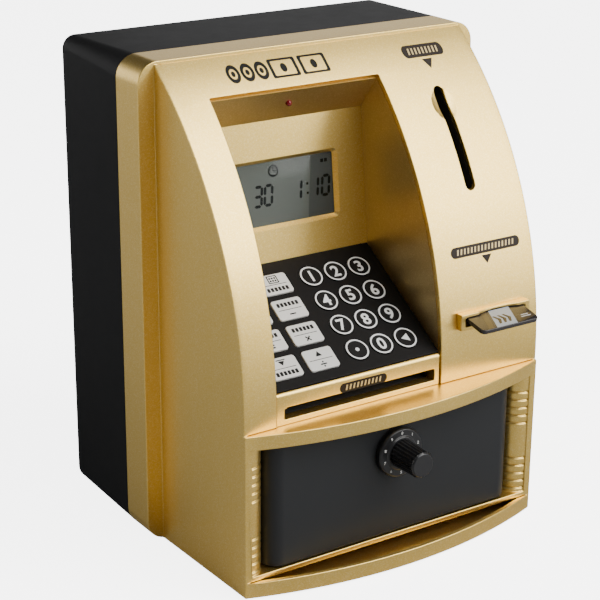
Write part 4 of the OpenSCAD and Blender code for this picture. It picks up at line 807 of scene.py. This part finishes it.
shown = []
for sign, a in display["digits"]:
    shown += digitParts(sign, a, display["row"])
for rise in (display["colonRise"], -display["colonRise"]):
    shown.append(ink(roundedOutline(*display["colonDot"], (display["colonX"], display["row"] + rise))))
x, y = clock["x"], display["row"] + clock["rise"]
rim = roundedOutline(*clock["rim"], (x, y))
shown.append(border(rim, onDisplay, clock["stroke"], display["lift"], display["sink"]))
shown.append(ink(roundedOutline(*clock["tall"], (x, y + clock["tallUp"]))))
shown.append(ink(roundedOutline(*clock["wide"], (x + clock["wideAcross"], y))))
for a in display["signalX"]:
    shown.append(ink(roundedOutline(*display["signal"], (a, display["row"] + display["signalRise"]))))
buildPiece("display_digits", shown, finish["displayInk"], "housing")
low, high = display["up"] - display["height"] / 2, display["up"] + display["height"] / 2
side = display["width"] / 2
# painted shade: a darker patch over the right part of the display, standing in for the dark reflection of the
# recess's right wall
paintedShade = polygonOutline([(display["paintedShade"][0], low), (side, low), (side, high), (display["paintedShade"][1], high)])
buildPiece("display_painted_shade", [patch(paintedShade, onDisplay, display["paintedShadeLift"], display["sink"])],
           finish["displayPaintedShade"], "housing")
wide, tall = display["width"] + cover["margin"], display["height"] + cover["margin"]
outline = roundedOutline(wide, tall, cover["corner"], 48, (0, display["up"]))
pane = buildPiece("display_pane", [patch(outline, screenPlace, cover["top"], cover["bottom"])],
                  finish["clearPane"], "housing")
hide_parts("lcd_window")
print("display made")

# Lamp: a flange behind the hood, a neck through it and a dome, each by its radius and heights
lampDome = {"along": -11.3, "flange": (1.9, -3.0, -2.05), "neck": (1.47, -2.0, 0.4), "rise": 1.5,
            "steps": 10}
t = np.linspace(0, np.pi / 2, lampDome["steps"])
flangeR, flangeLow, flangeTop = lampDome["flange"]
neckR, neckLow, neckTop = lampDome["neck"]
dome = np.stack([neckR * np.cos(t), neckTop + lampDome["rise"] * np.sin(t)], -1).tolist()
profile = [(flangeR, flangeLow), (flangeR, flangeTop), (neckR, neckLow), (neckR, neckTop)] + dome
lamp = buildPiece("lamp_dome", [turned(profile, onPlane("hood"), (0, lampDome["along"]), 40)],
                  finish["lampRed"], "housing", True)
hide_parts("led")

# Plain labels and arrows beside the slots
labels = {"lift": 0.05, "pitch": 2.1, "tall": 2.5, "half": 0.45, "lean": 0.25, "arrowGap": 0.9,
          "arrowHalf": 3.0, "arrowDeep": 4.0,
          "coin": {"x": 56.9, "z": 227.2, "width": 24.4, "height": 5.0, "bars": 9},
          "card": {"x": 56.5, "z": 142.0, "width": 42.0, "height": 5.0, "bars": 17},
          "note": {"x": -19.3, "z": 91.7, "width": 26.7, "height": 4.6, "bars": 10}}


def labelParts(given, place, withArrow):
    # a long pill, with a small arrow below it that points at the slot
    x, z, tall = given["x"], given["z"], given["height"]
    pill = roundedOutline(given["width"], tall, tall / 2 - 0.01, 64, (x, z))
    parts = [patch(pill, place, labels["lift"])]
    if withArrow:
        top, half = z - tall / 2 - labels["arrowGap"], labels["arrowHalf"]
        arrow = polygonOutline([(x - half, top), (x + half, top), (x, top - labels["arrowDeep"])], 6)
        parts.append(patch(arrow, place, labels["lift"]))
    return parts


def labelMarks(given, place):
    # a row of short slanting bars stands for the words
    half, lean, rise = labels["half"], labels["lean"], labels["tall"] / 2
    low, high = given["z"] - rise, given["z"] + rise
    bars = []
    for k in range(given["bars"]):
        x = given["x"] + (k - (given["bars"] - 1) / 2) * labels["pitch"]
        bar = [(x - half - lean, low), (x + half - lean, low),
               (x + half + lean, high), (x - half + lean, high)]
        bars.append(patch(polygonOutline(bar, 2), place, labels["lift"] * 2))
    return bars


labelled = (("coin", onFace, "printDark"), ("card", onFace, "printDark"),
            ("note", onPlane("bar"), "printBrown"))
for name, place, paint in labelled:
    pill = labelParts(labels[name], place, name != "note")
    buildPiece(name + "_label", pill, finish[paint], "housing")
for name, place, paint in labelled:
    bars = labelMarks(labels[name], place)
    buildPiece(name + "_label_marks", bars, finish["printGold"], "housing")

# A plain picture of coins and notes at the top of the face
emblem = {"x": -27.0, "z": 227.9, "lift": 0.05, "coins": (-23.3, -15.7, -8.1), "coin": 3.45,
          "coinStroke": 1.5, "notes": (4.0, 20.7), "note": (15.0, 7.2, 0.8, 48), "noteStroke": 1.7,
          "noteDot": (3.4, 3.4, 1.68, 24)}
parts = []
r = emblem["coin"]
lift = emblem["lift"]
for x in emblem["coins"]:
    centre = (emblem["x"] + x, emblem["z"])
    rim = roundedOutline(2 * r, 2 * r, r * 0.99, 40, centre)
    parts.append(border(rim, onFace, emblem["coinStroke"], lift))
    parts.append(patch(roundedOutline(r * 0.6, r * 0.6, r * 0.29, 24, centre), onFace, lift))
for x in emblem["notes"]:
    centre = (emblem["x"] + x, emblem["z"])
    parts.append(border(roundedOutline(*emblem["note"], centre), onFace, emblem["noteStroke"], lift))
    parts.append(patch(roundedOutline(*emblem["noteDot"], centre), onFace, lift))
buildPiece("face_emblem", parts, finish["printBlack"], "housing")
print("labels made")

# Card print: corners of each patch on the card's face, and the starts of the chevrons
cardPrint = {"lift": 0.03, "silver": [(-8.5, -12.1), (4.0, -12.1), (9.0, 1.5), (-3.5, 1.5)],
             "bronze": ([(-13.4, -12.1), (-10.2, -12.1), (-5.2, 1.5), (-8.4, 1.5)],
                        [(5.4, -12.1), (16.9, -9.9), (16.9, -6.5), (7.2, -6.5)]),
             "chevron": [(0, -9.8), (1.3, -9.8), (3.3, -6.6), (1.3, -3.4), (0, -3.4), (2.0, -6.6)],
             "chevronX": (-5.2, -2.2, 0.8), "lineX": 12.0, "lines": ((6.0, -8.6), (4.4, -7.2)),
             "line": (0.5, 0.2, 16)}
cardPlace = onPlane("card")
lift = cardPrint["lift"]
buildPiece("card_band", [patch(polygonOutline(cardPrint["silver"]), cardPlace, lift)], finish["cardSilver"],
           "card")
buildPiece("card_corners", [patch(polygonOutline(p), cardPlace, lift) for p in cardPrint["bronze"]],
           finish["cardBronze"], "card")
chevrons = [polygonOutline([(x + a, b) for a, b in cardPrint["chevron"]], 2) for x in cardPrint["chevronX"]]
buildPiece("card_chevrons", [patch(outline, cardPlace, lift * 2) for outline in chevrons],
           finish["cardBlack"], "card")
lines = [roundedOutline(w, *cardPrint["line"], (cardPrint["lineX"], y)) for w, y in cardPrint["lines"]]
buildPiece("card_lines", [patch(outline, cardPlace, lift * 2) for outline in lines],
           finish["cardPale"], "card")

# Dial marks
dial = {"radius": 10.1, "size": 2.1, "lift": 0.04, "weight": 0.03, "numbers": 10}
dialPlace = onPlane("dial")
parts = []
for k in range(dial["numbers"]):
    turn = 2 * math.pi * k / dial["numbers"]
    centre = (dial["radius"] * math.sin(turn), dial["radius"] * math.cos(turn))
    parts.append(numeral(str(k), dial["size"], dialPlace, centre, dial["lift"], dial["weight"]))
buildPiece("dial_numbers", parts, finish["printWhite"], "door_leaf")
print("prints made")

# Floor, lights and camera
stageLook = {"floorSize": 6.0, "floorColour": (0.95, 0.95, 0.95, 1), "bounceColour": (0.4, 0.4, 0.4, 1),
             "unlit": (0, 0, 0, 1), "white": (1, 1, 1, 1), "glow": 5.0, "floorRoughness": 0.9,
             "worldStrength": 0.07, "backdrop": 5.6}
floorMesh = bpy.data.meshes.new("floor")
half = stageLook["floorSize"] / 2
floorCorners = [(-half, -half, 0), (half, -half, 0), (half, half, 0), (-half, half, 0)]
floorMesh.from_pydata(floorCorners, [], [(0, 1, 2, 3)])
floor = addObject("floor", floorMesh)
floorPaint, tree, paint = newMaterial("floorPaint")
# the floor is pale to the camera and throws less light back on the object
seen = tree.nodes.new("ShaderNodeLightPath").outputs["Is Camera Ray"]
feed(tree, paint, {
    "Base Color": mixColour(tree, seen, stageLook["bounceColour"], stageLook["floorColour"]),
    "Emission Color": mixColour(tree, seen, stageLook["unlit"], stageLook["white"]),
    "Emission Strength": stageLook["glow"], "Roughness": stageLook["floorRoughness"]})
floorMesh.materials.append(floorPaint)

world = bpy.data.worlds.new("studio")
world.use_nodes = True
tree = world.node_tree
# the surroundings are as pale as the floor to the camera, and dim as a light
inView = tree.nodes.new("ShaderNodeLightPath").outputs["Is Camera Ray"]
pale = mathNode(tree, "MULTIPLY", inView, stageLook["backdrop"])
feed(tree, tree.nodes["Background"].inputs, {
    0: stageLook["white"], 1: mathNode(tree, "MAXIMUM", pale, stageLook["worldStrength"])})
bpy.context.scene.world = world


def setFrame(thing, right, up, back, place):
    # places a lamp or camera by its three axes and its position
    rows = [list(row) + [at] for row, at in zip(np.stack([right, up, back], 1).tolist(), list(place))]
    thing.matrix_world = Matrix(rows + [[0, 0, 0, 1]])


lampAim = np.array([0, 0, 0.12])
lamps = {
    "keySoftbox": {"place": (0.7, -1.2, 1.35), "size": 1.7, "power": 64},
    "frontFill": {"place": (1.3, -1.4, 0.35), "size": 0.8, "power": 9},
    "leftFill": {"place": (-1.7, 0.5, 0.4), "size": 1.1, "power": 17},
    "backSoftbox": {"place": (1.2, 1.5, 0.5), "size": 1.0, "power": 3.6},
    "rearFill": {"place": (-0.7, 2.1, 0.3), "size": 1.2, "power": 12},
}
for name, given in lamps.items():
    light = bpy.data.lights.new(name, "AREA")
    light.shape, light.size, light.energy = "SQUARE", given["size"], given["power"]
    spot = np.array(given["place"])
    back = spot - lampAim
    back /= np.linalg.norm(back)
    right = np.cross([0, 0, 1], back)
    right /= np.linalg.norm(right)
    setFrame(addObject(name, light), right, np.cross(back, right), back, spot)

view = {"place": (-0.457343, -0.657145, 0.402144), "azimuth": -34.144, "elevation": 20.06, "roll": 0.471,
        "lens": 104.078, "sensor": 36.0, "near": 0.05}
az, el, roll = (math.radians(view[k]) for k in ("azimuth", "elevation", "roll"))
ahead = np.array([-math.sin(az) * math.cos(el), math.cos(az) * math.cos(el), -math.sin(el)])
right = np.cross(ahead, [0, 0, 1])
right /= np.linalg.norm(right)
up = np.cross(right, ahead)
right, up = math.cos(roll) * right + math.sin(roll) * up, math.cos(roll) * up - math.sin(roll) * right
lens = bpy.data.cameras.new("camera")
lens.lens, lens.sensor_width, lens.clip_start = view["lens"], view["sensor"], view["near"]
camera = addObject("camera", lens)
setFrame(camera, right, up, -ahead, view["place"])
bpy.context.scene.camera = camera
